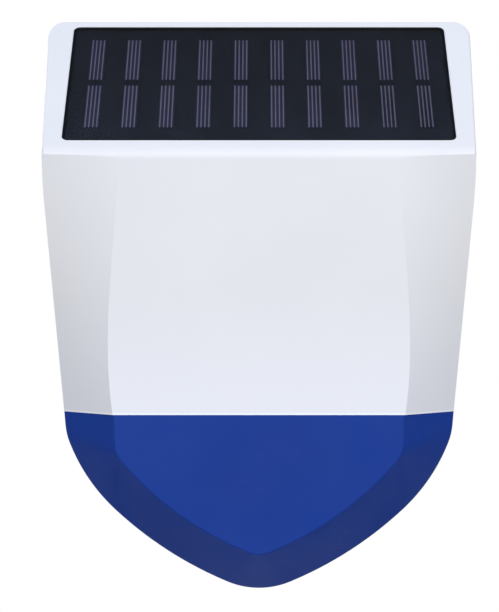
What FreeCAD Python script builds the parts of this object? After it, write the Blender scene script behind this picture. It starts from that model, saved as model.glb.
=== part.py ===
import FreeCAD, Part
import math
import os

# Solar-powered outdoor alarm siren with a strobe lens, hung on a steel wall bracket.
# Millimetres. The wall is the plane y = 0 and the front faces -Y. +X is to the right
# of somebody who faces the siren, +Z is up, and z = 0 is the middle of its height.

V = FreeCAD.Vector

# ---- overall form -------------------------------------------------------------------
DEPTH = 80.0              # wall to front face
TOP_Z = 123.4             # top edge, at the parting line
HALF_WIDTH = 89.3         # half width of the upper part, at the depth of the girdle
WIDE_Z = 62.0             # where the front face would meet the sloping top
SLOPE_LEAN = 45.0         # lean of the sloping top from the vertical
SIDE_TURN_Z = 50.0        # height where the upright sides start to lean in
SIDE_LEAN = 4.9           # lean of the sides below it
SIDE_BEND_R = 200.0       # gentle bend between the upright and the leaning side
CORNER_R = 5.4            # top corners, seen from the front
ROLL_R = 8.0              # rolled edge between slope and front
GIRDLE_DEPTH = 27.0       # how far the facets fall back from the front at the lens
DRAFT = 0.065             # sides spread by this much per millimetre of depth
SEAM_Z = -44.3            # lens below, housing above
PARTING = 16.0            # parting line between front and rear shells, from the wall
BACK_GAP = 8.0            # wall to the back of the rear shell
REAR_TAPER = 1.0          # the rear shell narrows by this much towards the wall
WALL = 2.8                # shell walls
EDGE_R = 1.0              # outer edges of the slope and of the girdle
PANEL_EDGE_R = 0.6        # edge of the lens panel

# ---- shield-shaped bottom, as headings from the vertical and the radii between them ---
SHOULDER_DROP = 5.5       # straight side below the seam before the shoulder starts
OUTER_TURNS = (21.5, 47.0, 67.5, 90.0)
OUTER_RADII = (27.0, 76.0, None, 34.0)
INNER_TURNS = (20.0, 40.0, 69.0, 90.0)
INNER_RADII = (10.0, 10.0, None, 9.0)
INNER_HALF = 58.4         # half width of the flat front panel at the seam
INNER_LEAN = 1.5
INNER_DROP = 12.0         # straight edge of the lens panel below the seam

# ---- crease between the front panel and the side facets: (z, half width) -------------
CREASE = ((WIDE_Z, 57.0), (22.0, 59.0), (-10.0, 60.8), (-50.0, 58.0))

# ---- solar panel on the slope ---------------------------------------------------------
PANEL_W = 160.0
PANEL_L = 76.0
PANEL_START = 6.8         # from the line where slope and front would meet
PANEL_R = 2.5
RECESS_GAP = 0.5
TAPE_T = 0.5
BACKBOARD_T = 1.2
CELL_T = 0.3
COVER_T = 0.9
COVER_SUNK = 0.2
RECESS_FLOOR = 2.0
CELL_COLUMNS = 10
CELL_W = 6.2
CELL_PITCH = 15.3
CELL_L = 27.3
CELL_ROWS = (8.9, 40.2)   # lower end of each row, from the panel's lower edge
TAPE_W = 8.0
LEAD_HOLE_R = 2.5

# ---- wall bracket ---------------------------------------------------------------------
STEEL_T = 1.5
BRACKET_HALF = 64.0
BRACKET_TOP = 72.0
BRACKET_BOTTOM = -74.0
BRACKET_R = 8.0
SPEAKER_WINDOW_R = 33.0
TONGUE_HALF = 9.0
WALL_HOLE_R = 2.6
WALL_HOLE_X = 84.0        # hole to hole across
WALL_HOLE_Z = 126.0       # hole to hole up
WALL_HOLE_MID = -1.0
HOOK_X = 55.0
HOOK_ZS = (25.0, -39.0)   # top face of each hook's neck
HOOK_W = 12.0
HOOK_RISE = 5.5
LIFT = 8.0                # lift that frees the hooks
SLOT_GAP = 0.6
FLANGE_D = 5.0            # bent side flanges of the bracket

# ---- locking screw --------------------------------------------------------------------
LIP_Z = -97.0             # underside of the bracket's lip
LIP_GAP = 1.0
LOCK_Y = 11.6
LOCK_R = 1.5
LOCK_HEAD_R = 2.7
LOCK_HEAD_H = 2.0
LOCK_REACH = 5.0          # thread inside the insert
WASHER_R = 3.0
WASHER_T = 0.5
INSERT_R = 2.3
NOTCH_HALF = 12.0
THREAD_GAP = 0.06

# ---- screws that close the housing ----------------------------------------------------
SCREW_R = 1.45
SCREW_HEAD_R = 2.8
SCREW_HEAD_H = 2.2
SCREW_L = 24.0
SCREW_SINK = 1.0
BOSS_R = 4.0
POST_R = 4.6
SCREW_PLACES = ((80.0, 95.0), (79.0, 40.0), (75.0, -20.0), (22.0, -103.0))

# ---- sounder --------------------------------------------------------------------------
SOUNDER_Z = -38.0
SOUNDER_R = 36.0
SOUNDER_WALL = 2.0
SOUNDER_H = 22.0
FOAM_T = 1.5
MESH_T = 0.5
DISC_R = 30.0
DISC_T = 0.4
DISC_FROM_MOUTH = 11.0
PIEZO_R = 19.0
PIEZO_T = 0.4
CLAMP_T = 2.5
EAR_R = 4.5
EAR_T = 2.5
EAR_ANGLES = (30.0, 150.0, 270.0)
EAR_OUT = 5.0
SLOT_W = 3.0
SLOT_PITCH = 7.0
SLOT_COUNT = 7
GRILLE_R = 29.0

# ---- batteries ------------------------------------------------------------------------
CELL_R = 9.1
BATTERY_L = 65.0
BATTERY_GAP = 1.6
BATTERY_PITCH = 2.0 * CELL_R + BATTERY_GAP
BATTERY_Z = 23.5          # middle of the pair
TRAY_WALL = 1.6
SPRING_ROOM = 2.5
CONTACT_T = 0.5

# ---- main board -----------------------------------------------------------------------
BOARD_HALF = 70.0
BOARD_Z0 = 48.0
BOARD_Z1 = 98.0
BOARD_T = 1.6
BOARD_OFF = 11.5          # above the inner floor of the rear shell
BOARD_HOLE_IN = 6.0
BOARD_SCREW_R = 1.2
BOARD_POST_R = 3.5
CONTROL_Z = 88.0
RADIO_AREA = (-52.0, -34.0, 74.0, 86.0)
RADIO_H = 2.4
CHIP_AREA = (-10.0, 2.0, 64.0, 76.0)
CHIP_H = 1.4
ANTENNA_X = -28.0
ANTENNA_Z = (76.0, 92.0)
ANTENNA_R = 2.6
ANTENNA_OUT = 4.0
CAPACITOR_XS = (22.0, 32.0, 42.0)
CAPACITOR_Z = 60.0
CAPACITOR_R = 4.0
CAPACITOR_H = 11.0
BOOST_PLACE = (34.0, 80.0)
BOOST_R = 6.0
BOOST_H = 7.0
SOCKET_W = 8.0
SOCKET_D = 5.0
SOCKET_H = 5.0
SOCKET_XS = {"panel": 0.0, "battery": -20.0, "sounder": 12.0, "strobe": 54.0}
SOCKET_ZS = {"panel": 92.0, "battery": 52.0, "sounder": 52.0, "strobe": 52.0}
LEAD_R = 0.9

# ---- controls on the back ---------------------------------------------------------------
POWER_X = 48.0
POWER_TRAVEL = 3.0
BUTTON_X = 22.0
BUTTON_R = 3.5
BUTTON_TRAVEL = 1.0
PORT_X = -45.0
FLAP_W = 17.0
FLAP_H = 11.0
FLAP_T = 1.6
TAMPER_Z = 60.0
TAMPER_R = 2.0
TAMPER_TRAVEL = 3.0
COLLAR_R = 5.6
COLLAR_T = 1.0
SLIDE_GAP = 0.08          # running clearance round pieces that slide or turn
LOOSE_GAP = 0.4           # clearance round pieces that must not touch
VENT_R = 5.0
VENT_PLACE = (-62.0, -64.0)

# ---- strobe ----------------------------------------------------------------------------
STROBE_Y = 48.0           # from the wall to the back of the strobe board
STROBE_T = 1.6
STROBE_INSET = 7.5
LED_SIZE = 5.0
LED_H = 1.4
LED_PLACES = ((-30.0, -59.0), (-10.0, -59.0), (10.0, -59.0), (30.0, -59.0),
              (-19.0, -72.5), (19.0, -72.5), (0.0, -75.0))
CUP_R = 6.5
REFLECTOR_T = 8.0
STROBE_POSTS = ((-41.0, -53.0), (41.0, -53.0))
STROBE_POST_R = 3.0

# ---- derived places --------------------------------------------------------------------
FRONT_Y = -DEPTH
GIRDLE_Y = FRONT_Y + GIRDLE_DEPTH
PART_Y = -PARTING
BACK_Y = -BACK_GAP
FLOOR_Y = BACK_Y - WALL
BOARD_Y = FLOOR_Y - BOARD_OFF
LEAN = math.radians(SLOPE_LEAN)
PANEL_STACK = TAPE_T + BACKBOARD_T + CELL_T + COVER_T
BATTERY_Y = FLOOR_Y - TRAY_WALL - CELL_R - LOOSE_GAP


# ======================= small helpers ==================================================
def box(x0, x1, y0, y1, z0, z1):
    return Part.makeBox(x1 - x0, y1 - y0, z1 - z0, V(x0, y0, z0))


def rod(radius, start, end):
    line = V(*end) - V(*start)
    return Part.makeCylinder(radius, line.Length, V(*start), line)


def tube(outer, inner, start, end):
    return rod(outer, start, end).cut(rod(inner, start, end))


def fused(shapes):
    first = shapes[0]
    if len(shapes) == 1:
        return first
    return first.multiFuse(shapes[1:]).removeSplitter()


def mirrored(shape):
    return shape.mirror(V(0, 0, 0), V(1, 0, 0))


def rounded_plate(x0, x1, z0, z1, radius, y0, y1):
    plate = box(x0, x1, y0, y1, z0, z1)
    upright = [e for e in plate.Edges if abs(e.tangentAt(e.FirstParameter).y) > 0.9]
    return plate.makeFillet(radius, upright)


def export(node, shapes):
    solids = []
    for shape in shapes:
        solids.extend(shape.Solids)
    body = solids[0] if len(solids) == 1 else Part.makeCompound(solids)
    body.exportStep(os.path.join("parts", node + ".step"))


# ======================= outlines =======================================================
def half_chain(start, heading, steps, grow):
    """Points of tangent lines and clockwise arcs in the XZ plane, down to the centre line."""
    angle = math.radians(heading)
    x = start[0] + grow * math.cos(angle)
    z = start[1] - grow * math.sin(angle)
    pieces = []
    for step in steps:
        if step[0] == "line":
            nx = x - step[1] * math.sin(angle)
            nz = z - step[1] * math.cos(angle)
            pieces.append(((x, z), None, (nx, nz)))
        else:
            radius = step[1] + grow
            after = math.radians(step[2])
            cx = x - radius * math.cos(angle)
            cz = z + radius * math.sin(angle)
            half = 0.5 * (angle + after)
            mid = (cx + radius * math.cos(half), cz - radius * math.sin(half))
            nx = cx + radius * math.cos(after)
            nz = cz - radius * math.sin(after)
            pieces.append(((x, z), mid, (nx, nz)))
            angle = after
        x, z = nx, nz
    return pieces


def closing_radius(start_x, heading, turns, radii):
    """Radius of the long flank that brings the chain to the centre line at the tip."""
    reach = start_x
    before = heading
    flank = 0.0
    for after, radius in zip(turns, radii):
        turn = math.cos(math.radians(before)) - math.cos(math.radians(after))
        if radius is None:
            flank = turn
        else:
            reach -= radius * turn
        before = after
    return reach / flank


def shield_steps(straight, start_x, heading, turns, radii):
    x_after = start_x - straight * math.sin(math.radians(heading))
    flank = closing_radius(x_after, heading, turns, radii)
    steps = [("line", straight)]
    for after, radius in zip(turns, radii):
        steps.append(("arc", flank if radius is None else radius, after))
    return steps


def side_x(z):
    """Half width of the side at the girdle's depth."""
    return HALF_WIDTH - max(SIDE_TURN_Z - z, 0.0) * math.tan(math.radians(SIDE_LEAN))


def wire_from(pieces, y):
    """Closed wire at depth y from the right-hand half, mirrored to the left."""
    edges = []
    for first, mid, last in pieces:
        a, b = V(first[0], y, first[1]), V(last[0], y, last[1])
        if mid is None:
            edges.append(Part.LineSegment(a, b).toShape())
        else:
            edges.append(Part.Arc(a, V(mid[0], y, mid[1]), b).toShape())
    for first, mid, last in reversed(pieces):
        a, b = V(-last[0], y, last[1]), V(-first[0], y, first[1])
        if mid is None:
            edges.append(Part.LineSegment(a, b).toShape())
        else:
            edges.append(Part.Arc(a, V(-mid[0], y, mid[1]), b).toShape())
    top = pieces[0][0]
    if abs(top[0]) > 1e-6:
        edges.append(Part.LineSegment(V(-top[0], y, top[1]), V(top[0], y, top[1])).toShape())
    return Part.Wire(edges)


def outline(y, grow):
    """The whole silhouette: flat top, upright then leaning sides and the shield below."""
    bend = SIDE_BEND_R * math.tan(math.radians(SIDE_LEAN) / 2.0)
    base_top = TOP_Z - DRAFT * (PART_Y - GIRDLE_Y)
    shoulder_z = SEAM_Z - SHOULDER_DROP
    lean_length = (SIDE_TURN_Z - shoulder_z) / math.cos(math.radians(SIDE_LEAN)) - bend
    start_x = HALF_WIDTH - CORNER_R
    steps = [("line", start_x), ("arc", CORNER_R, 0.0),
             ("line", base_top - CORNER_R - SIDE_TURN_Z - bend), ("arc", SIDE_BEND_R, SIDE_LEAN),
             ("line", lean_length)]
    steps += shield_steps(0.0, side_x(shoulder_z), SIDE_LEAN, OUTER_TURNS, OUTER_RADII)[1:]
    return wire_from(half_chain((0.0, base_top), -90.0, steps, grow), y)


def lens_outline(y, grow):
    """The silhouette below the seam, closed a little above it."""
    top_z = SEAM_Z + GIRDLE_DEPTH
    drop = (top_z - SEAM_Z + SHOULDER_DROP) / math.cos(math.radians(SIDE_LEAN))
    steps = shield_steps(drop, side_x(top_z), SIDE_LEAN, OUTER_TURNS, OUTER_RADII)
    return wire_from(half_chain((side_x(top_z), top_z), SIDE_LEAN, steps, grow), y)


def panel_outline(y, grow):
    """The flat front panel of the lens, closed a little above the seam."""
    top_z = SEAM_Z + GIRDLE_DEPTH
    top_x = INNER_HALF + GIRDLE_DEPTH * math.tan(math.radians(INNER_LEAN))
    drop = (top_z - SEAM_Z + INNER_DROP) / math.cos(math.radians(INNER_LEAN))
    steps = shield_steps(drop, top_x, INNER_LEAN, INNER_TURNS, INNER_RADII)
    return wire_from(half_chain((top_x, top_z), INNER_LEAN, steps, grow), y)


# ======================= outer form and its insets ======================================
def spread(y):
    return DRAFT * (y - GIRDLE_Y)


def drafted(inset, y_rear):
    wires = [outline(FRONT_Y, spread(FRONT_Y) - inset), outline(y_rear, spread(y_rear) - inset)]
    return Part.makeLoft(wires, True, True)


def slope_profile(inset, z_low, y_rear):
    """Prism whose side view is the front face, the rolled edge and the slope."""
    y = FRONT_Y + inset
    z = WIDE_Z - inset * math.tan(LEAN / 2.0)
    radius = ROLL_R - inset
    tangent = radius * math.tan(LEAN / 2.0)
    low = (y, z - tangent)
    high = (y + tangent * math.sin(LEAN), z + tangent * math.cos(LEAN))
    centre = (y + radius, z - tangent)
    mid = (centre[0] - radius * math.cos(LEAN / 2.0), centre[1] + radius * math.sin(LEAN / 2.0))
    reach = (y_rear - high[0]) / math.tan(LEAN)
    x = -2.0 * HALF_WIDTH
    pts = [V(x, p[0], p[1]) for p in (low, mid, high)]
    far = V(x, y_rear, high[1] + reach)
    edges = [Part.Arc(*pts).toShape(),
             Part.LineSegment(pts[2], far).toShape(),
             Part.LineSegment(far, V(x, y_rear, z_low)).toShape(),
             Part.LineSegment(V(x, y_rear, z_low), V(x, y, z_low)).toShape(),
             Part.LineSegment(V(x, y, z_low), pts[0]).toShape()]
    return Part.Face(Part.Wire(edges)).extrude(V(-2.0 * x, 0, 0))


def chamfer_shares():
    """How an inset moves the facet's front and girdle edges, so that the wall stays even."""
    run = side_x(SEAM_Z) - INNER_HALF
    length = math.hypot(run, GIRDLE_DEPTH)
    front = GIRDLE_DEPTH / length - (1.0 - run / length) * run / GIRDLE_DEPTH
    back = run / length - (1.0 - GIRDLE_DEPTH / length) * GIRDLE_DEPTH / run
    return front, back


def facet_cutter(inset):
    """Right-hand wedge that takes the side facet off the front, from nothing at the top."""
    front_share, back_share = chamfer_shares()
    wires = []
    for z, half in CREASE:
        fall = GIRDLE_DEPTH * (WIDE_Z - z) / (WIDE_Z - SEAM_Z)
        side_y = FRONT_Y + fall
        a = V(half - front_share * inset, FRONT_Y + inset, z)
        b = V(side_x(z) + spread(side_y) - inset, side_y + back_share * inset, z)
        if not fall:
            b.y = a.y
        along = (b - a).normalize()
        inner = a - along * 6.0
        outer = b + along * 14.0
        far_y = FRONT_Y - 30.0
        wires.append(Part.makePolygon([inner, outer, V(outer.x, far_y, z),
                                       V(inner.x, far_y, z), inner]))
    return Part.makeLoft(wires, True, False)


def housing_form(inset, y_rear):
    form = drafted(inset, y_rear).common(slope_profile(inset, SEAM_Z - 60.0, y_rear))
    cutter = facet_cutter(inset)
    form = form.cut(cutter).cut(mirrored(cutter))
    return form


def lens_form(inset, y_rear):
    front_share, back_share = chamfer_shares()
    y_side = GIRDLE_Y + back_share * inset
    face = Part.makeLoft([panel_outline(FRONT_Y + inset, -front_share * inset),
                          lens_outline(y_side, -inset)], True, True)
    sides = Part.makeLoft([lens_outline(y_side, -inset),
                           lens_outline(y_rear, spread(y_rear) - inset)], True, True)
    return face.fuse(sides)


def above(z):
    return box(-200, 200, -200, 20, z, 300)


def below(z):
    return box(-200, 200, -200, 20, -300, z)


def lies_on(edge, point, normal):
    middle = edge.valueAt(0.5 * (edge.FirstParameter + edge.LastParameter))
    places = (edge.Vertexes[0].Point, middle, edge.Vertexes[-1].Point)
    return all(abs((place - point).dot(normal)) < 0.01 for place in places)


def runs_up_from_girdle(edge):
    """True for the crease that rises from the girdle's corner at the seam."""
    low, high = sorted((edge.Vertexes[0].Point, edge.Vertexes[-1].Point), key=lambda p: p.z)
    at_corner = abs(low.z - SEAM_Z) < 0.01 and abs(low.y - GIRDLE_Y) < 0.01
    return at_corner and high.z > SEAM_Z + 1.0


def housing_outside():
    """The housing's outer form with its slope edges and creases softened."""
    form = housing_form(0.0, PART_Y).common(above(SEAM_Z)).removeSplitter()
    up_slope = V(0, -math.cos(LEAN), math.sin(LEAN))
    foot = V(0, FRONT_Y, WIDE_Z)
    sharp = [e for e in form.Edges if lies_on(e, foot, up_slope) or runs_up_from_girdle(e)]
    return form.makeFillet(EDGE_R, sharp)


def lens_outside():
    """The lens's outer form with its girdle and panel edges softened."""
    form = lens_form(0.0, PART_Y).common(below(SEAM_Z)).removeSplitter()
    forward = V(0, 1, 0)
    girdle = [e for e in form.Edges if lies_on(e, V(0, GIRDLE_Y, 0), forward)]
    form = form.makeFillet(EDGE_R, girdle)
    panel = [e for e in form.Edges if lies_on(e, V(0, FRONT_Y, 0), forward)
             and not lies_on(e, V(0, 0, SEAM_Z), V(0, 0, 1))]
    return form.makeFillet(PANEL_EDGE_R, panel)


# ======================= sloping top and solar panel ====================================
def on_slope(shape, start=0.0):
    """Puts a shape drawn as X across, Y up the slope and Z outwards onto the slope."""
    turned = shape.copy()
    turned.rotate(V(0, 0, 0), V(1, 0, 0), 90.0 - SLOPE_LEAN)
    turned.translate(V(0, FRONT_Y + start * math.sin(LEAN), WIDE_Z + start * math.cos(LEAN)))
    return turned


def slope_plate(half_w, v0, v1, w0, w1, radius):
    plate = Part.makeBox(2.0 * half_w, v1 - v0, w1 - w0, V(-half_w, v0, w0))
    if radius:
        upright = [e for e in plate.Edges if abs(e.tangentAt(e.FirstParameter).z) > 0.9]
        plate = plate.makeFillet(radius, upright)
    return on_slope(plate, PANEL_START)


def panel_plate(low, thick, shrink=0.0):
    return slope_plate(PANEL_W / 2.0 - shrink, shrink, PANEL_L - shrink, low, low + thick,
                       max(PANEL_R - shrink, 0.0))


TAPE_W0 = -PANEL_STACK - COVER_SUNK
BACKBOARD_W0 = TAPE_W0 + TAPE_T
CELL_W0 = BACKBOARD_W0 + BACKBOARD_T
COVER_W0 = CELL_W0 + CELL_T


def solar_backboard():
    return [panel_plate(BACKBOARD_W0, BACKBOARD_T)]


def solar_cover():
    return [panel_plate(COVER_W0, COVER_T)]


def panel_tape():
    hole = slope_plate(PANEL_W / 2.0 - TAPE_W, TAPE_W, PANEL_L - TAPE_W, TAPE_W0 - 1.0,
                       TAPE_W0 + TAPE_T + 1.0, 0.0)
    return [panel_plate(TAPE_W0, TAPE_T).cut(hole)]


def solar_cells():
    cells = []
    for row in CELL_ROWS:
        for column in range(CELL_COLUMNS):
            x = (column - 0.5 * (CELL_COLUMNS - 1)) * CELL_PITCH
            cell = Part.makeBox(CELL_W, CELL_L, CELL_T, V(x - CELL_W / 2.0, row, CELL_W0))
            cells.append(on_slope(cell, PANEL_START))
    return cells


def panel_recess():
    return slope_plate(PANEL_W / 2.0 + RECESS_GAP, -RECESS_GAP, PANEL_L + RECESS_GAP, TAPE_W0,
                       5.0, PANEL_R + RECESS_GAP)


def recess_floor():
    return slope_plate(PANEL_W / 2.0 + WALL, -WALL, PANEL_L, TAPE_W0 - RECESS_FLOOR,
                       -0.5 * WALL, 0.0)


def lead_hole():
    hole = Part.makeCylinder(LEAD_HOLE_R, 3.0 * PANEL_STACK, V(0, PANEL_L / 2.0, -4.0 * PANEL_STACK))
    return on_slope(hole, PANEL_START)


# ======================= housing screws =================================================
def both_sides(places):
    return [(side * x, z) for x, z in places for side in (-1.0, 1.0)]


SCREW_HEAD_Y = BACK_Y - SCREW_SINK


def screw_posts():
    return [rod(POST_R, (x, FLOOR_Y + 1.0, z), (x, PART_Y, z)) for x, z in both_sides(SCREW_PLACES)]


def screw_holes():
    cuts = []
    for x, z in both_sides(SCREW_PLACES):
        cuts.append(rod(SCREW_R + LOOSE_GAP / 2.0, (x, 1.0, z), (x, PART_Y - 1.0, z)))
        cuts.append(rod(SCREW_HEAD_R + LOOSE_GAP / 2.0, (x, 1.0, z),
                        (x, SCREW_HEAD_Y - SCREW_HEAD_H, z)))
    return cuts


def housing_screws():
    screws = []
    for x, z in both_sides(SCREW_PLACES):
        under = SCREW_HEAD_Y - SCREW_HEAD_H
        head = rod(SCREW_HEAD_R, (x, SCREW_HEAD_Y, z), (x, under, z))
        shank = rod(SCREW_R, (x, under, z), (x, under - SCREW_L, z))
        cross = cross_recess(x, SCREW_HEAD_Y, z, SCREW_HEAD_R)
        screws.append(head.fuse(shank).removeSplitter().cut(cross))
    return screws


def cross_recess(x, y, z, head_r):
    arm = 0.62 * head_r
    slot = 0.16 * head_r
    depth = 0.4 * head_r
    return box(x - arm, x + arm, y - depth, y + 1.0, z - slot, z + slot).fuse(
        box(x - slot, x + slot, y - depth, y + 1.0, z - arm, z + arm))


def front_bosses(places, form):
    bosses = [rod(BOSS_R, (x, PART_Y, z), (x, FRONT_Y, z)) for x, z in both_sides(places)]
    return [boss.common(form) for boss in bosses]


def boss_bores(places):
    end = SCREW_HEAD_Y - SCREW_HEAD_H - SCREW_L - 1.0
    return [rod(SCREW_R, (x, 1.0, z), (x, end, z)) for x, z in both_sides(places)]


# ======================= front housing, lens and its seal ===============================
TONGUE_RISE = 5.0
SEAL_FROM = 1.2
SEAL_H = 2.0
SEAL_DEEP = 0.8
FIT_GAP = 0.1


def ring_band(outer_inset, inner_inset, z0, z1):
    """Band that follows the inside of the housing between two heights."""
    slab = above(z0).common(below(z1))
    outer = housing_form(outer_inset, PART_Y).common(slab)
    return outer.cut(housing_form(inner_inset, PART_Y + 1.0))


def front_housing():
    form = housing_outside()
    shell = form.cut(housing_form(WALL, PART_Y + 1.0))
    inside = housing_form(WALL / 2.0, PART_Y).common(above(SEAM_Z))
    parts = [shell, recess_floor().common(inside)] + front_bosses(SCREW_PLACES[:3], form)
    solid = fused(parts).cut(panel_recess()).cut(lead_hole())
    for bore in boss_bores(SCREW_PLACES[:3]):
        solid = solid.cut(bore)
    return [solid]


def strobe_lens():
    form = lens_outside()
    shell = form.cut(lens_form(WALL, PART_Y + 1.0))
    root = lens_form(WALL + FIT_GAP, PART_Y).common(below(SEAM_Z)).common(above(SEAM_Z - WALL))
    root = root.cut(lens_form(2.0 * WALL, PART_Y + 1.0))
    tongue = ring_band(WALL + FIT_GAP, 2.0 * WALL, SEAM_Z, SEAM_Z + TONGUE_RISE)
    groove = ring_band(WALL, WALL + FIT_GAP + SEAL_DEEP, SEAM_Z + SEAL_FROM,
                       SEAM_Z + SEAL_FROM + SEAL_H)
    bosses = front_bosses(SCREW_PLACES[3:], form)
    solid = fused([shell, root, tongue] + bosses).cut(groove)
    for bore in boss_bores(SCREW_PLACES[3:]):
        solid = solid.cut(bore)
    return [solid]


def lens_seal():
    return [ring_band(WALL, WALL + FIT_GAP + SEAL_DEEP, SEAM_Z + SEAL_FROM,
                      SEAM_Z + SEAL_FROM + SEAL_H)]


# ======================= rear shell =====================================================
GASKET_IN = 0.9
GASKET_W = 1.1
GASKET_T = 1.2


def rear_block(inset, y_front, y_back):
    front = spread(PART_Y)
    share = REAR_TAPER / (BACK_Y - PART_Y)
    wires = [outline(y, front - share * (y - PART_Y) - inset) for y in (y_front, y_back)]
    return Part.makeLoft(wires, True, True)


def parting_groove():
    grow = spread(PART_Y) - GASKET_IN
    slab = [outline(y, grow) for y in (PART_Y - 1.0, PART_Y + GASKET_T)]
    hole = [outline(y, grow - GASKET_W) for y in (PART_Y - 2.0, PART_Y + GASKET_T + 1.0)]
    return Part.makeLoft(slab, True, True).cut(Part.makeLoft(hole, True, True))


def housing_gasket():
    return [parting_groove().common(box(-200, 200, PART_Y, 0, -200, 200))]


POCKET_WALL = 1.5


def hook_places():
    return [(side * HOOK_X, z) for z in HOOK_ZS for side in (-1.0, 1.0)]


def hook_room(x, z, grow, y_front, y_back):
    """Space that a hook needs in the rear shell, from its lowest lift to its tip."""
    half = HOOK_W / 2.0 + SLOT_GAP + grow
    return box(x - half, x + half, y_front - grow, y_back, z - STEEL_T - LIFT - SLOT_GAP - grow,
               z + HOOK_RISE + SLOT_GAP + grow)


HOOK_TIP_Y = FLOOR_Y - SLOT_GAP


def hook_slot(x, z):
    half = HOOK_W / 2.0 + SLOT_GAP
    return box(x - half, x + half, FLOOR_Y - 1.0, BACK_Y + 1.0, z - STEEL_T - LIFT - SLOT_GAP, z)


def lock_block():
    return box(-NOTCH_HALF - WALL, NOTCH_HALF + WALL, PART_Y, BACK_Y, -200.0,
               LIP_Z + STEEL_T + LIP_GAP + LOCK_REACH + 1.5)


def lock_notch():
    top = LIP_Z + STEEL_T + LIP_GAP
    return box(-NOTCH_HALF, NOTCH_HALF, PART_Y + 1.2, 1.0, -200.0, top)


def insert_hole():
    z = LIP_Z + STEEL_T + LIP_GAP
    return rod(INSERT_R, (0, -LOCK_Y, z), (0, -LOCK_Y, z + LOCK_REACH))


def lock_insert():
    z = LIP_Z + STEEL_T + LIP_GAP
    return [tube(INSERT_R, LOCK_R + THREAD_GAP, (0, -LOCK_Y, z), (0, -LOCK_Y, z + LOCK_REACH))]


def board_holes():
    x = BOARD_HALF - BOARD_HOLE_IN
    return [(side * x, z) for z in (BOARD_Z0 + BOARD_HOLE_IN, BOARD_Z1 - BOARD_HOLE_IN)
            for side in (-1.0, 1.0)]


def ear_places():
    reach = SOUNDER_R + EAR_OUT
    return [(reach * math.cos(math.radians(a)), SOUNDER_Z + reach * math.sin(math.radians(a)))
            for a in EAR_ANGLES]


def grille_slots():
    round_cut = rod(GRILLE_R, (0, BACK_Y + 1.0, SOUNDER_Z), (0, FLOOR_Y - 1.0, SOUNDER_Z))
    slots = []
    for i in range(SLOT_COUNT):
        x = (i - 0.5 * (SLOT_COUNT - 1)) * SLOT_PITCH
        reach = math.sqrt(GRILLE_R ** 2 - x ** 2)
        slots.append(box(x - SLOT_W / 2.0, x + SLOT_W / 2.0, FLOOR_Y - 1.0, BACK_Y + 1.0,
                         SOUNDER_Z - reach, SOUNDER_Z + reach))
    return [slot.common(round_cut) for slot in slots]


def rear_housing():
    shell = rear_block(0.0, PART_Y, BACK_Y).cut(rear_block(WALL, PART_Y - 1.0, FLOOR_Y))
    adds = [shell] + screw_posts()
    adds.append(lock_block().common(rear_block(0.0, PART_Y, BACK_Y)))
    for x, z in hook_places():
        adds.append(hook_room(x, z, POCKET_WALL, HOOK_TIP_Y - STEEL_T - SLOT_GAP, FLOOR_Y + 1.0))
    for x, z in board_holes():
        adds.append(rod(BOARD_POST_R, (x, FLOOR_Y + 1.0, z), (x, BOARD_Y, z)))
    for x, z in ear_places():
        adds.append(rod(EAR_R, (x, FLOOR_Y + 1.0, z), (x, SOUNDER_EAR_Y, z)))
    for x, z in STROBE_POSTS:
        adds.append(rod(STROBE_POST_R, (x, FLOOR_Y + 1.0, z), (x, -STROBE_Y, z)))
    adds.append(rod(TAMPER_R + SLIDE_GAP + 1.5, (0, FLOOR_Y + 1.0, TAMPER_Z),
                    (0, COLLAR_Y + TAMPER_TRAVEL, TAMPER_Z)))
    solid = fused(adds).cut(parting_groove()).cut(lock_notch()).cut(insert_hole())
    cuts = screw_holes() + grille_slots()
    for x, z in hook_places():
        cuts.append(hook_room(x, z, 0.0, HOOK_TIP_Y - STEEL_T - SLOT_GAP, FLOOR_Y))
        cuts.append(hook_slot(x, z))
    for x, z in board_holes():
        cuts.append(rod(BOARD_SCREW_R, (x, FLOOR_Y - 1.0, z), (x, BOARD_Y - 1.0, z)))
    for x, z in ear_places():
        cuts.append(rod(BOARD_SCREW_R, (x, FLOOR_Y, z), (x, SOUNDER_EAR_Y - 1.0, z)))
    for x, z in STROBE_POSTS:
        cuts.append(rod(BOARD_SCREW_R, (x, -STROBE_Y + 8.0, z), (x, -STROBE_Y - 1.0, z)))
    cuts.append(rod(TAMPER_R + SLIDE_GAP, (0, 1.0, TAMPER_Z), (0, -PARTING - 4.0, TAMPER_Z)))
    cuts.append(rod(VENT_R - 1.5, (VENT_PLACE[0], 1.0, VENT_PLACE[1]),
                    (VENT_PLACE[0], FLOOR_Y - 1.0, VENT_PLACE[1])))
    cuts += control_openings()
    for cut in cuts:
        solid = solid.cut(cut)
    return [solid]


# ======================= wall bracket ===================================================
def hook(x, z):
    half = HOOK_W / 2.0
    neck = box(x - half, x + half, HOOK_TIP_Y - STEEL_T, 0.0, z - STEEL_T, z)
    tip = box(x - half, x + half, HOOK_TIP_Y - STEEL_T, HOOK_TIP_Y, z - STEEL_T, z + HOOK_RISE)
    return neck.fuse(tip)


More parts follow.
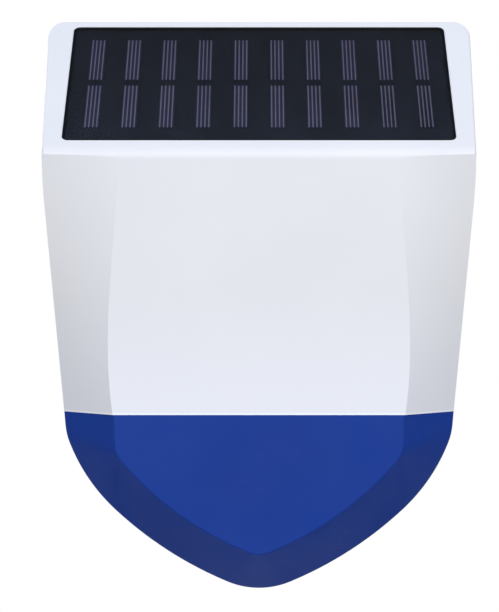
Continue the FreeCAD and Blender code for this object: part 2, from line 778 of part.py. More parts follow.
def wall_bracket():
    plate = rounded_plate(-BRACKET_HALF, BRACKET_HALF, BRACKET_BOTTOM, BRACKET_TOP, BRACKET_R,
                          -STEEL_T, 0.0)
    plate = plate.cut(rod(SPEAKER_WINDOW_R, (0, -STEEL_T - 1.0, SOUNDER_Z), (0, 1.0, SOUNDER_Z)))
    for x, z in hook_places():
        plate = plate.cut(box(x - HOOK_W / 2.0 - 1.0, x + HOOK_W / 2.0 + 1.0, -STEEL_T - 1.0, 1.0,
                              z, z + HOOK_RISE + 6.0))
    tongue = box(-TONGUE_HALF, TONGUE_HALF, -STEEL_T, 0.0, LIP_Z, BRACKET_BOTTOM + 1.0)
    lip = box(-TONGUE_HALF, TONGUE_HALF, -LOCK_Y - WASHER_R, 0.0, LIP_Z, LIP_Z + STEEL_T)
    parts = [plate, tongue, lip] + [hook(x, z) for x, z in hook_places()]
    for side in (-1.0, 1.0):
        x = side * (BRACKET_HALF - STEEL_T / 2.0)
        parts.append(box(x - STEEL_T / 2.0, x + STEEL_T / 2.0, -FLANGE_D, 0.0,
                         BRACKET_BOTTOM + BRACKET_R, BRACKET_TOP - BRACKET_R))
    solid = fused(parts)
    for sx in (-1.0, 1.0):
        for sz in (-1.0, 1.0):
            x, z = sx * WALL_HOLE_X / 2.0, WALL_HOLE_MID + sz * WALL_HOLE_Z / 2.0
            solid = solid.cut(rod(WALL_HOLE_R, (x, -STEEL_T - 1.0, z), (x, 1.0, z)))
    window = rod(COLLAR_R, (0, -STEEL_T - 1.0, TAMPER_Z), (0, 1.0, TAMPER_Z))
    window = window.fuse(rod(COLLAR_R, (0, -STEEL_T - 1.0, TAMPER_Z + LIFT),
                             (0, 1.0, TAMPER_Z + LIFT)))
    bar = box(-COLLAR_R, COLLAR_R, -STEEL_T - 1.0, 1.0, TAMPER_Z, TAMPER_Z + LIFT)
    solid = solid.cut(window).cut(bar)
    hole = rod(LOCK_R + LOOSE_GAP / 2.0, (0, -LOCK_Y, LIP_Z - 1.0), (0, -LOCK_Y, LIP_Z + 3.0))
    return [solid.cut(hole)]


def lock_washer():
    return [tube(WASHER_R - 0.1, LOCK_R + SLIDE_GAP, (0, -LOCK_Y, LIP_Z - WASHER_T),
                 (0, -LOCK_Y, LIP_Z))]


def lock_screw():
    under = LIP_Z - WASHER_T
    head = rod(LOCK_HEAD_R, (0, -LOCK_Y, under - LOCK_HEAD_H), (0, -LOCK_Y, under))
    tip = LIP_Z + STEEL_T + LIP_GAP + LOCK_REACH - 0.5
    shank = rod(LOCK_R, (0, -LOCK_Y, under), (0, -LOCK_Y, tip))
    arm = 0.62 * LOCK_HEAD_R
    slot = 0.4
    z0 = under - LOCK_HEAD_H - 1.0
    z1 = under - LOCK_HEAD_H + 1.1
    cross = box(-arm, arm, -LOCK_Y - slot, -LOCK_Y + slot, z0, z1).fuse(
        box(-slot, slot, -LOCK_Y - arm, -LOCK_Y + arm, z0, z1))
    return [head.fuse(shank).removeSplitter().cut(cross)]


# ======================= sounder ========================================================
MOUTH_Y = FLOOR_Y - FOAM_T - MESH_T
SOUNDER_EAR_Y = MOUTH_Y - 3.0
DISC_Y = MOUTH_Y - DISC_FROM_MOUTH


def sounder_round(outer, inner, y0, y1):
    return tube(outer, inner, (0, y0, SOUNDER_Z), (0, y1, SOUNDER_Z))


def sounder_case():
    back = MOUTH_Y - SOUNDER_H
    cup = rod(SOUNDER_R, (0, back, SOUNDER_Z), (0, MOUTH_Y, SOUNDER_Z))
    cup = cup.cut(rod(SOUNDER_R - SOUNDER_WALL, (0, DISC_Y, SOUNDER_Z), (0, 1.0, SOUNDER_Z)))
    cup = cup.cut(rod(DISC_R - SOUNDER_WALL, (0, back + SOUNDER_WALL, SOUNDER_Z),
                      (0, 1.0, SOUNDER_Z)))
    ears = []
    for share in (1.0, (SOUNDER_R - SOUNDER_WALL) / (SOUNDER_R + EAR_OUT)):
        for x, z in ear_places():
            z_ear = SOUNDER_Z + share * (z - SOUNDER_Z)
            ears.append(rod(EAR_R, (share * x, SOUNDER_EAR_Y - EAR_T, z_ear),
                            (share * x, SOUNDER_EAR_Y, z_ear)))
    solid = fused([cup] + ears)
    solid = solid.cut(rod(SOUNDER_R - SOUNDER_WALL, (0, DISC_Y, SOUNDER_Z), (0, 1.0, SOUNDER_Z)))
    for x, z in ear_places():
        solid = solid.cut(rod(BOARD_SCREW_R, (x, FLOOR_Y, z), (x, MOUTH_Y - SOUNDER_H, z)))
    return [solid]


def sounder_foam():
    return [sounder_round(SOUNDER_R, SOUNDER_R - 2.0 * SOUNDER_WALL, FLOOR_Y - FOAM_T - MESH_T,
                          FLOOR_Y - MESH_T)]


def sounder_mesh():
    return [rod(SOUNDER_R, (0, FLOOR_Y - MESH_T, SOUNDER_Z), (0, FLOOR_Y, SOUNDER_Z))]


def sounder_disc():
    return [rod(SOUNDER_R - SOUNDER_WALL - 0.2, (0, DISC_Y, SOUNDER_Z),
                (0, DISC_Y + DISC_T, SOUNDER_Z))]


def piezo_element():
    return [rod(PIEZO_R, (0, DISC_Y - PIEZO_T, SOUNDER_Z), (0, DISC_Y, SOUNDER_Z))]


def sounder_clamp():
    return [sounder_round(SOUNDER_R - SOUNDER_WALL, DISC_R, DISC_Y + DISC_T,
                          DISC_Y + DISC_T + CLAMP_T)]


def small_screw(x, y, z, length):
    """Pan-head screw whose head bears on a face at depth y and whose shank points to the wall."""
    head = rod(2.0 * BOARD_SCREW_R, (x, y - 1.6, z), (x, y, z))
    shank = rod(BOARD_SCREW_R, (x, y, z), (x, y + length, z))
    return head.fuse(shank).removeSplitter()


def sounder_screws():
    return [small_screw(x, SOUNDER_EAR_Y - EAR_T, z, EAR_T + 4.0) for x, z in ear_places()]


# ======================= batteries ======================================================
def battery_zs():
    return [BATTERY_Z - BATTERY_PITCH / 2.0, BATTERY_Z + BATTERY_PITCH / 2.0]


def battery_cells():
    half = BATTERY_L / 2.0
    cells = []
    for z, sign in zip(battery_zs(), (1.0, -1.0)):
        can = rod(CELL_R, (-half, BATTERY_Y, z), (half, BATTERY_Y, z))
        can = can.makeFillet(0.8, can.Edges[0:1] + can.Edges[2:3])
        knob = rod(2.8, (sign * half, BATTERY_Y, z), (sign * (half + 1.0), BATTERY_Y, z))
        cells.append(can.fuse(knob).removeSplitter())
    return cells


def battery_tray():
    half_x = BATTERY_L / 2.0 + SPRING_ROOM + CONTACT_T + TRAY_WALL
    half_z = BATTERY_PITCH / 2.0 + CELL_R + LOOSE_GAP + TRAY_WALL
    outer = box(-half_x, half_x, BATTERY_Y - 2.0, FLOOR_Y, BATTERY_Z - half_z, BATTERY_Z + half_z)
    solid = outer.cut(box(TRAY_WALL - half_x, half_x - TRAY_WALL, BATTERY_Y - 3.0,
                          FLOOR_Y - TRAY_WALL, BATTERY_Z - half_z + TRAY_WALL,
                          BATTERY_Z + half_z - TRAY_WALL))
    rib = box(TRAY_WALL - half_x, half_x - TRAY_WALL, BATTERY_Y + 3.0, FLOOR_Y,
              BATTERY_Z - 0.5, BATTERY_Z + 0.5)
    for z in battery_zs():
        rib = rib.cut(rod(CELL_R + LOOSE_GAP / 2.0, (-half_x, BATTERY_Y, z), (half_x, BATTERY_Y, z)))
    return [solid.fuse(rib).removeSplitter()]


def battery_contacts():
    inner = BATTERY_L / 2.0 + SPRING_ROOM
    plates = []
    for z, knob in zip(battery_zs(), (1.0, -1.0)):
        for side in (-1.0, 1.0):
            near, far = side * inner, side * (inner + CONTACT_T)
            plate = box(min(near, far), max(near, far), BATTERY_Y - 5.0, BATTERY_Y + 5.0,
                        z - 4.0, z + 4.0)
            reach = BATTERY_L / 2.0 + (1.0 if side == knob else 0.0)
            spring = tube(3.4, 2.7, (side * reach, BATTERY_Y, z), (near, BATTERY_Y, z))
            if side == knob:
                spring = rod(2.0, (side * reach, BATTERY_Y, z), (near, BATTERY_Y, z))
            plates.append(plate.fuse(spring).removeSplitter())
    return plates


# ======================= main board and what is on it ===================================
BOARD_FRONT = BOARD_Y - BOARD_T


def main_board():
    board = rounded_plate(-BOARD_HALF, BOARD_HALF, BOARD_Z0, BOARD_Z1, 3.0, BOARD_FRONT, BOARD_Y)
    for x, z in board_holes():
        board = board.cut(rod(BOARD_SCREW_R, (x, BOARD_FRONT - 1.0, z), (x, BOARD_Y + 1.0, z)))
    return [board]


def board_screws():
    return [small_screw(x, BOARD_FRONT, z, BOARD_T + 5.0) for x, z in board_holes()]


def on_board(x0, x1, z0, z1, height):
    return box(x0, x1, BOARD_FRONT - height, BOARD_FRONT, z0, z1)


def radio_module():
    return [on_board(*RADIO_AREA, RADIO_H)]


def antenna():
    y = BOARD_FRONT - ANTENNA_OUT
    coil = tube(ANTENNA_R, ANTENNA_R - 0.8, (ANTENNA_X, y, ANTENNA_Z[0]),
                (ANTENNA_X, y, ANTENNA_Z[1]))
    x, z = ANTENNA_X - ANTENNA_R + 0.4, ANTENNA_Z[0] + 1.0
    foot = rod(LEAD_R, (x, y, z), (x, BOARD_FRONT, z))
    return [coil.fuse(foot).removeSplitter()]


def control_chip():
    return [on_board(*CHIP_AREA, CHIP_H)]


def capacitors():
    return [rod(CAPACITOR_R, (x, BOARD_FRONT, CAPACITOR_Z),
                (x, BOARD_FRONT - CAPACITOR_H, CAPACITOR_Z)) for x in CAPACITOR_XS]


def boost_coil():
    x, z = BOOST_PLACE
    return [rod(BOOST_R, (x, BOARD_FRONT, z), (x, BOARD_FRONT - BOOST_H, z))]


def lead_sockets():
    shapes = []
    for name in SOCKET_XS:
        x, z = SOCKET_XS[name], SOCKET_ZS[name]
        shapes.append(on_board(x - SOCKET_W / 2.0, x + SOCKET_W / 2.0, z - SOCKET_D / 2.0,
                               z + SOCKET_D / 2.0, SOCKET_H))
    return shapes


def route(points, radius):
    """Round lead along straight runs joined by tangent arcs."""
    pts = [V(*p) for p in points]
    edges = []
    at = pts[0]
    for i in range(1, len(pts) - 1):
        before = pts[i] - pts[i - 1]
        after = pts[i + 1] - pts[i]
        turn = before.getAngle(after)
        back = 0.45 * min(before.Length, after.Length)
        before.normalize()
        after.normalize()
        first = pts[i] - before * back
        last = pts[i] + after * back
        bend = back / math.tan(0.5 * turn)
        inward = (after - before).normalize()
        mid = pts[i] + inward * (math.hypot(bend, back) - bend)
        edges.append(Part.LineSegment(at, first).toShape())
        edges.append(Part.Arc(first, mid, last).toShape())
        at = last
    edges.append(Part.LineSegment(at, pts[-1]).toShape())
    ring = Part.Wire(Part.Circle(pts[0], pts[1] - pts[0], radius).toShape())
    return Part.Wire(edges).makePipeShell([ring], True, True)


SOCKET_FACE = BOARD_FRONT - SOCKET_H


def from_socket(name):
    x, z = SOCKET_XS[name], SOCKET_ZS[name]
    return [(x, SOCKET_FACE, z), (x, SOCKET_FACE - 5.5, z)]


def slope_point(along, out):
    y = FRONT_Y + along * math.sin(LEAN) - out * math.cos(LEAN)
    z = WIDE_Z + along * math.cos(LEAN) + out * math.sin(LEAN)
    return (0.0, y, z)


def panel_lead():
    middle = PANEL_START + PANEL_L / 2.0
    start = slope_point(middle, BACKBOARD_W0)
    inside = slope_point(middle, BACKBOARD_W0 - 10.5)
    return [route([start, inside] + from_socket("panel")[::-1], LEAD_R)]


def battery_lead():
    z = battery_zs()[1]
    x = -(BATTERY_L / 2.0 + SPRING_ROOM + CONTACT_T)
    y = BATTERY_Y - 3.5
    return [route(from_socket("battery") + [(-33.0, -37.0, 46.0), (-45.0, -32.0, 39.0),
                                            (-45.0, y, z), (x, y, z)], LEAD_R)]


def sounder_lead():
    y = MOUTH_Y - SOUNDER_H
    return [route([(10.0, y, -20.0), (10.0, y - 5.0, -20.0), (14.0, y - 7.0, -4.0),
                   (17.0, y - 7.0, 14.0), (16.0, y - 6.0, 32.0)]
                  + from_socket("sounder")[::-1], LEAD_R)]


def strobe_lead():
    return [route([(20.0, -STROBE_Y, -52.0), (20.0, 5.5 - STROBE_Y, -52.0), (27.0, -40.5, -36.0),
                   (37.0, -40.0, -17.0), (45.0, -40.0, 4.0), (51.0, -39.0, 26.0)]
                  + from_socket("strobe")[::-1], LEAD_R)]


# ======================= controls on the back ===========================================
GUIDE_END = FLOOR_Y - 1.0
COLLAR_Y = GUIDE_END - TAMPER_TRAVEL
COLLAR_END = COLLAR_Y - COLLAR_T
SWITCH_H = 3.5
BUTTON_END = BOARD_Y + SWITCH_H + 1.6 + BUTTON_TRAVEL + 0.1
POWER_BODY_H = 5.0
KNOB = 3.0
CAP_RIM = 1.0
PORT_W = 9.0
PORT_H = 3.6


def tamper_plunger():
    tip = BOARD_Y + SWITCH_H + 0.4
    stem = rod(TAMPER_R, (0, tip, TAMPER_Z), (0, 0, TAMPER_Z))
    collar = rod(COLLAR_R, (0, COLLAR_END, TAMPER_Z), (0, COLLAR_Y, TAMPER_Z))
    return [stem.fuse(collar).removeSplitter()]


def tamper_spring():
    return [tube(COLLAR_R - 0.3, COLLAR_R - 1.1, (0, BOARD_Y, TAMPER_Z), (0, COLLAR_END, TAMPER_Z))]


def square_switch(x, z, nub_r, nub_h):
    body = box(x - 3.0, x + 3.0, BOARD_Y, BOARD_Y + SWITCH_H, z - 3.0, z + 3.0)
    nub = rod(nub_r, (x, BOARD_Y + SWITCH_H, z), (x, BOARD_Y + SWITCH_H + nub_h, z))
    return body.fuse(nub).removeSplitter()


def tamper_switch():
    return [square_switch(0.0, TAMPER_Z, 1.0, 0.3)]


def button_switch():
    return [square_switch(BUTTON_X, CONTROL_Z, 1.7, 1.6)]


def pair_button():
    cap = rod(BUTTON_R, (BUTTON_X, BUTTON_END, CONTROL_Z), (BUTTON_X, BACK_Y - 0.4, CONTROL_Z))
    flange = rod(BUTTON_R + CAP_RIM, (BUTTON_X, FLOOR_Y - 1.2, CONTROL_Z),
                 (BUTTON_X, FLOOR_Y - 0.05, CONTROL_Z))
    return [cap.fuse(flange).removeSplitter()]


def power_switch():
    return [box(POWER_X - 5.0, POWER_X + 8.0, BOARD_Y, BOARD_Y + POWER_BODY_H, CONTROL_Z - 3.0,
                CONTROL_Z + 3.0)]


def power_slider():
    top = BOARD_Y + POWER_BODY_H + SLIDE_GAP
    foot = box(POWER_X - 3.0, POWER_X + 3.0, top, top + 1.2, CONTROL_Z - 2.5, CONTROL_Z + 2.5)
    stem = box(POWER_X - KNOB / 2.0, POWER_X + KNOB / 2.0, top, BACK_Y - 0.6,
               CONTROL_Z - KNOB / 2.0, CONTROL_Z + KNOB / 2.0)
    return [foot.fuse(stem).removeSplitter()]


def charge_socket():
    shell = box(PORT_X - PORT_W / 2.0, PORT_X + PORT_W / 2.0, BOARD_Y, FLOOR_Y - LOOSE_GAP,
                CONTROL_Z - PORT_H / 2.0, CONTROL_Z + PORT_H / 2.0)
    mouth = box(PORT_X - PORT_W / 2.0 + 0.5, PORT_X + PORT_W / 2.0 - 0.5, BOARD_Y + 4.0, 0.0,
                CONTROL_Z - PORT_H / 2.0 + 0.5, CONTROL_Z + PORT_H / 2.0 - 0.5)
    blade = box(PORT_X - 3.0, PORT_X + 3.0, BOARD_Y + 4.0, FLOOR_Y - 1.5, CONTROL_Z - 0.35,
                CONTROL_Z + 0.35)
    return [shell.cut(mouth).fuse(blade).removeSplitter()]


def flap_plate(grow, y0, y1):
    return rounded_plate(PORT_X - FLAP_W / 2.0 - grow, PORT_X + FLAP_W / 2.0 + grow,
                         CONTROL_Z - FLAP_H / 2.0 - grow, CONTROL_Z + FLAP_H / 2.0 + grow,
                         2.0, y0, y1)


def port_opening(grow, y0, y1):
    return box(PORT_X - PORT_W / 2.0 - 1.5 - grow, PORT_X + PORT_W / 2.0 + 1.5 + grow, y0, y1,
               CONTROL_Z - PORT_H / 2.0 - 1.5 - grow, CONTROL_Z + PORT_H / 2.0 + 1.5 + grow)


def charge_flap():
    plate = flap_plate(0.0, BACK_Y - FLAP_T, BACK_Y)
    plug = port_opening(-LOOSE_GAP, FLOOR_Y + 0.2, BACK_Y - FLAP_T)
    return [plate.fuse(plug).removeSplitter()]


def control_openings():
    knob = KNOB / 2.0 + LOOSE_GAP
    return [rod(BUTTON_R + SLIDE_GAP, (BUTTON_X, FLOOR_Y - 1.0, CONTROL_Z), (BUTTON_X, 1.0, CONTROL_Z)),
            box(POWER_X - knob, POWER_X + POWER_TRAVEL + knob, FLOOR_Y - 1.0, 1.0,
                CONTROL_Z - knob, CONTROL_Z + knob),
            flap_plate(LOOSE_GAP, BACK_Y - FLAP_T, BACK_Y + 1.0),
            port_opening(0.0, FLOOR_Y - 1.0, 0.0)]


def vent_plug():
    x, z = VENT_PLACE
    cap = rod(VENT_R, (x, BACK_Y, z), (x, BACK_Y + 1.2, z))
    stem = rod(VENT_R - 1.5, (x, FLOOR_Y - 0.6, z), (x, BACK_Y, z))
    lip = rod(VENT_R - 0.9, (x, FLOOR_Y - 1.6, z), (x, FLOOR_Y - 0.1, z))
    return [cap.fuse(stem).fuse(lip).removeSplitter()]


# ======================= strobe =========================================================
def strobe_slab(inset, y_back, thick):
    top = SEAM_Z - TONGUE_RISE
    slab = Part.Face(panel_outline(y_back, -inset)).extrude(V(0, -thick, 0))
    return slab.common(below(top))


def strobe_board():
    board = strobe_slab(STROBE_INSET, -STROBE_Y, STROBE_T)
    for x, z in STROBE_POSTS:
        board = board.cut(rod(BOARD_SCREW_R, (x, 0, z), (x, -STROBE_Y - 5.0, z)))
    return [board]


def strobe_screws():
    return [small_screw(x, -STROBE_Y - STROBE_T, z, STROBE_T + 5.0) for x, z in STROBE_POSTS]


def strobe_leds():
    leds = []
    half = LED_SIZE / 2.0
    face = -STROBE_Y - STROBE_T
    for x, z in LED_PLACES:
        leds.append(box(x - half, x + half, face - LED_H, face, z - half, z + half))
    return leds


def strobe_reflector():
    face = -STROBE_Y - STROBE_T
    plate = strobe_slab(STROBE_INSET + 0.5, face, REFLECTOR_T)
    for x, z in LED_PLACES:
        cone = Part.makeCone(0.78 * LED_SIZE, CUP_R, REFLECTOR_T, V(x, face, z), V(0, -1, 0))
        plate = plate.cut(cone)
    for x, z in STROBE_POSTS:
        plate = plate.cut(rod(2.0 * BOARD_SCREW_R + LOOSE_GAP, (x, 0, z), (x, FRONT_Y, z)))
    return [plate]


# ======================= all the pieces =================================================
NODES = (front_housing, strobe_lens, lens_seal, solar_cover, solar_cells, solar_backboard,
         panel_tape, panel_lead, rear_housing, housing_gasket, housing_screws, vent_plug,
         wall_bracket, lock_screw, lock_washer, lock_insert,
         sounder_case, sounder_foam, sounder_mesh, sounder_disc, piezo_element, sounder_clamp,
         sounder_screws, sounder_lead,
         battery_tray, battery_cells, battery_contacts, battery_lead,
         main_board, board_screws, control_chip, radio_module, antenna, capacitors, boost_coil,
         lead_sockets, strobe_board, strobe_screws, strobe_leds, strobe_reflector, strobe_lead,
         tamper_plunger, tamper_spring, tamper_switch, button_switch, pair_button,
         power_switch, power_slider, charge_socket, charge_flap)

os.makedirs("parts", exist_ok=True)
for build in NODES:
    export(build.__name__, build())
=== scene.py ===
import math

import bmesh
import bpy
from mathutils import Matrix, Vector


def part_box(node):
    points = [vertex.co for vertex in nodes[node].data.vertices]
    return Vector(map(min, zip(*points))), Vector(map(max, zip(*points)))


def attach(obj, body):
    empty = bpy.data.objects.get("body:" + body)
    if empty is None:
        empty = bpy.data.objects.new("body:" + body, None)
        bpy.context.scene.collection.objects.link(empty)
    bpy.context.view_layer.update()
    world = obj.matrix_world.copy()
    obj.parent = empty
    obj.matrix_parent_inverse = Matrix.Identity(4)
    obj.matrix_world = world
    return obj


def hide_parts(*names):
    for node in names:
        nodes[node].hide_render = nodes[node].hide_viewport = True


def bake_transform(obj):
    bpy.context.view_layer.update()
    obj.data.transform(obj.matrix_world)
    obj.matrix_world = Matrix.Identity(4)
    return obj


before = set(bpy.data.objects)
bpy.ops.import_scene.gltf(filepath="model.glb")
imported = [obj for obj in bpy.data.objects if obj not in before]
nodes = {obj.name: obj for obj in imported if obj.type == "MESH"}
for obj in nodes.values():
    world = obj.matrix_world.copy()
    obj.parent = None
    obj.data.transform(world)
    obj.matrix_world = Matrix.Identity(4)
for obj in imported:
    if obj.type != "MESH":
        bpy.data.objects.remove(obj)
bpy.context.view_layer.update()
MM = 0.001


# ---- camera -------------------------------------------------------------------------
def add_camera():
    """A long lens straight in front of the siren, level with its middle."""
    data = bpy.data.cameras.new("camera")
    camera = bpy.data.objects.new("camera", data)
    bpy.context.scene.collection.objects.link(camera)
    camera.location = (0.0, -0.835, 0.0)
    camera.rotation_euler = (math.radians(90.0), 0.0, 0.0)
    data.sensor_width = 36.0
    data.lens = 110.3
    data.shift_x = -0.0155
    data.shift_y = -0.0016
    data.clip_start = 0.01
    bpy.context.scene.camera = camera


add_camera()


# ---- helpers for colour, shader nodes and pieces ---------------------------------------
def linear(hex_colour):
    """sRGB hex to linear red, green, blue and alpha."""
    channels = [int(hex_colour[i:i + 2], 16) / 255.0 for i in (1, 3, 5)]
    return tuple(c / 12.92 if c <= 0.04045 else ((c + 0.055) / 1.055) ** 2.4
                 for c in channels) + (1.0,)


# Sockets of a colour mix, which share their names with those of its other kinds.
SHARE, FIRST, SECOND, RESULT = 0, 6, 7, 2


def add_node(tree, kind, sockets=(), **settings):
    """Adds a shader node. Each of its sockets takes a value or another node's output."""
    node = tree.nodes.new(kind)
    for setting, value in settings.items():
        setattr(node, setting, value)
    for socket, value in dict(sockets).items():
        if isinstance(value, bpy.types.NodeSocket):
            tree.links.new(value, node.inputs[socket])
        else:
            node.inputs[socket].default_value = value
    return node


def new_material(name, sockets):
    """A material whose Principled shader has these values on its own sockets."""
    made = bpy.data.materials.new(name)
    made.use_nodes = True
    shader = made.node_tree.nodes["Principled BSDF"]
    for socket, value in sockets.items():
        shader.inputs[socket].default_value = value
    return made, made.node_tree, shader


def object_place(tree, scale_mm=(1.0, 1.0, 1.0), turn=(0.0, 0.0, 0.0)):
    """Place on the piece, measured in patterns of this many millimetres along each axis."""
    place = add_node(tree, "ShaderNodeTexCoord")
    mapping = add_node(tree, "ShaderNodeMapping", {
        "Vector": place.outputs["Object"],
        "Rotation": [math.radians(angle) for angle in turn],
        "Scale": [size * MM for size in scale_mm]}, vector_type="TEXTURE")
    return mapping.outputs[0]


def drift(tree, size_mm, low, high):
    """A value that drifts between two numbers over patches of this size."""
    noise = add_node(tree, "ShaderNodeTexNoise", {
        "Vector": object_place(tree, [size_mm] * 3), "Scale": 1.0, "Detail": 3.0})
    spread = add_node(tree, "ShaderNodeMapRange", {
        "Value": noise.outputs["Fac"], "From Min": 0.3, "From Max": 0.7, "To Min": low,
        "To Max": high})
    return spread.outputs[0]


def plain_finish(name, tones, patch_mm, grain_mm, depth_mm, rough, **sockets):
    """A surface with a soft change of tone, a fine grain and a roughness that drifts.

    The patches of tone, the grain and its depth are in millimetres; rough is the lowest and the
    highest roughness. Other sockets of the shader are given by name.
    """
    values = {key.replace("_", " "): value for key, value in sockets.items()}
    made, tree, shader = new_material(name, values)
    tone = add_node(tree, "ShaderNodeMix", {
        SHARE: drift(tree, patch_mm, 0.0, 1.0), FIRST: linear(tones[0]),
        SECOND: linear(tones[1])}, data_type="RGBA")
    grain = add_node(tree, "ShaderNodeBump", {
        "Height": drift(tree, grain_mm, 0.0, 1.0), "Distance": depth_mm * MM})
    tree.links.new(tone.outputs[RESULT], shader.inputs["Base Color"])
    tree.links.new(drift(tree, 0.35 * patch_mm, *rough), shader.inputs["Roughness"])
    tree.links.new(grain.outputs[0], shader.inputs["Normal"])
    return made


LARGEST_ROUNDED = (4.0 * MM) ** 2      # a bigger face is part of a flat plate, and shaded flat
SHARP_EDGE = math.radians(34.0)        # an edge that turns more than this is shaded as a crease
WELD = 0.001 * MM                      # corners closer together than this become one


def piece(name, bm, finishes, stands_for=(), body="siren"):
    """Makes a finished bmesh an object at the origin; with a body it moves with that body."""
    bmesh.ops.remove_doubles(bm, verts=bm.verts, dist=WELD)
    bmesh.ops.recalc_face_normals(bm, faces=bm.faces)
    for face in bm.faces:
        face.smooth = len(face.verts) < 5 and face.calc_area() < LARGEST_ROUNDED
    for edge in bm.edges:
        edge.smooth = edge.calc_face_angle(0.0) < SHARP_EDGE
    data = bpy.data.meshes.new(name)
    bm.to_mesh(data)
    bm.free()
    for made in finishes:
        data.materials.append(made)
    thing = bpy.data.objects.new(name, data)
    bpy.context.scene.collection.objects.link(thing)
    if body:
        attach(thing, body)
    if stands_for:
        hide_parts(*stands_for)
    return thing


def block(bm, size_mm, place, bevel_mm=0.0, matrix=Matrix.Identity(4), finish=0):
    """A rectangular block of a size in millimetres about a place in metres."""
    scale = Matrix.Diagonal([side * MM for side in size_mm] + [1.0])
    made = bmesh.ops.create_cube(bm, size=1.0, matrix=matrix @ Matrix.Translation(place) @ scale)
    edges = {edge for vert in made["verts"] for edge in vert.link_edges}
    for face in {face for vert in made["verts"] for face in vert.link_faces}:
        face.material_index = finish
    if bevel_mm:
        bmesh.ops.bevel(bm, geom=list(edges), offset=bevel_mm * MM, segments=2, profile=0.5,
                        affect="EDGES", material=-1)


def turned(bm, profile_mm, matrix, steps=48, finish=0):
    """A turned shape: an (out, along) profile spun about the local Z axis."""
    before = set(bm.faces)
    verts = [bm.verts.new((out * MM, 0.0, along * MM)) for out, along in profile_mm]
    edges = [bm.edges.new(pair) for pair in zip(verts, verts[1:])]
    bmesh.ops.spin(bm, geom=verts + edges, cent=(0, 0, 0), axis=(0, 0, 1), angle=math.tau,
                   steps=steps, use_merge=True, use_duplicate=False)
    spun = {vert for face in bm.faces if face not in before for vert in face.verts}
    bmesh.ops.remove_doubles(bm, verts=list(spun), dist=0.5 * WELD)
    faces = [face for face in bm.faces if face not in before]
    for face in faces:
        face.material_index = finish
    welded = {vert for face in faces for vert in face.verts}
    bmesh.ops.transform(bm, matrix=matrix, verts=list(welded))


def coil(bm, radius_mm, wire_mm, pitch_mm, turns, matrix, steps, finish=0):
    """A wire wound about the local Z axis in so many steps a turn, closed at both ends."""
    start = bmesh.ops.create_circle(bm, cap_ends=True, radius=wire_mm * MM, segments=8,
                                    matrix=Matrix.Translation((radius_mm * MM, 0, 0))
                                    @ Matrix.Rotation(math.radians(90.0), 4, "X"))
    face = next(iter(start["verts"][0].link_faces))
    before = set(bm.verts) - set(start["verts"])
    bmesh.ops.spin(bm, geom=[face] + list(face.edges) + list(face.verts), cent=(0, 0, 0),
                   axis=(0, 0, 1), dvec=(0, 0, pitch_mm * MM / steps),
                   angle=math.tau * turns, steps=int(steps * turns), use_merge=False,
                   use_duplicate=False)
    wound = [vert for vert in bm.verts if vert not in before]
    for face in {face for vert in wound for face in vert.link_faces}:
        face.material_index = finish
    bmesh.ops.transform(bm, matrix=matrix, verts=wound)


# Turns the local Z axis of a turned or wound shape to point at the wall or along the siren.
TO_WALL = Matrix.Rotation(math.radians(-90.0), 4, "X")
TO_FRONT = Matrix.Rotation(math.radians(90.0), 4, "X")
TO_RIGHT = Matrix.Rotation(math.radians(90.0), 4, "Y")
TO_LEFT = Matrix.Rotation(math.radians(-90.0), 4, "Y")


# ---- finishes ---------------------------------------------------------------------------
# White ASA, moulded in a tool with a very fine spark-eroded satin: a soft, even white with no
# mirror image in it. The real grain is 0.1 mm, drawn at 0.5 mm so that it shows at all. Next to
# the lens the white is painted lighter and bluish, painted light from the blue lens, and a thin
# band along the parting edge is painted near white as a painted highlight. Sizes in mm.
LENS_LAP = 5.0          # the lens reaches this far up behind the housing's lower edge
PAINTED_LENS_LIGHT_REACH = 50.0       # height over which the painted blue light from the lens fades out
PAINTED_HIGHLIGHT_EDGE = 0.7     # height of the painted highlight along the parting edge


def white_satin_finish():
    made, tree, shader = new_material("white_asa_moulded_fine_satin", {"IOR": 1.52})
    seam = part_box("strobe_lens")[1][2] - LENS_LAP * MM
    place = add_node(tree, "ShaderNodeTexCoord")
    axes = add_node(tree, "ShaderNodeSeparateXYZ", {0: place.outputs["Object"]})
    # Painted light: towards the lens the base colour turns lighter and bluish, the lens's blue
    # light falling on the white.
    near = add_node(tree, "ShaderNodeMapRange", {
        "Value": axes.outputs["Z"], "From Min": seam + PAINTED_LENS_LIGHT_REACH * MM, "From Max": seam})
    # Painted highlight: a thin band just above the seam is painted near white, a bright line along
    # the parting edge.
    edge = add_node(tree, "ShaderNodeMath", {
        0: axes.outputs["Z"], 1: seam + PAINTED_HIGHLIGHT_EDGE * MM}, operation="LESS_THAN")
    plain = add_node(tree, "ShaderNodeMix", {
        SHARE: drift(tree, 45.0, 0.0, 1.0), FIRST: linear("#E4E6EA"),
        SECOND: linear("#E1E3E8")}, data_type="RGBA")
    painted_lens_light = add_node(tree, "ShaderNodeMix", {
        SHARE: near.outputs[0], FIRST: plain.outputs[RESULT], SECOND: linear("#E9ECF5")},
        data_type="RGBA")
    # Painted highlight: here the base colour goes near white along the parting edge.
    polished = add_node(tree, "ShaderNodeMix", {
        SHARE: edge.outputs[0], FIRST: painted_lens_light.outputs[RESULT], SECOND: linear("#F6FAFF")},
        data_type="RGBA")
    grain = add_node(tree, "ShaderNodeBump", {
        "Height": drift(tree, 0.5, 0.0, 1.0), "Distance": 0.006 * MM})
    tree.links.new(polished.outputs[RESULT], shader.inputs["Base Color"])
    tree.links.new(drift(tree, 16.0, 0.36, 0.44), shader.inputs["Roughness"])
    tree.links.new(grain.outputs[0], shader.inputs["Normal"])
    return made


white_satin = white_satin_finish()
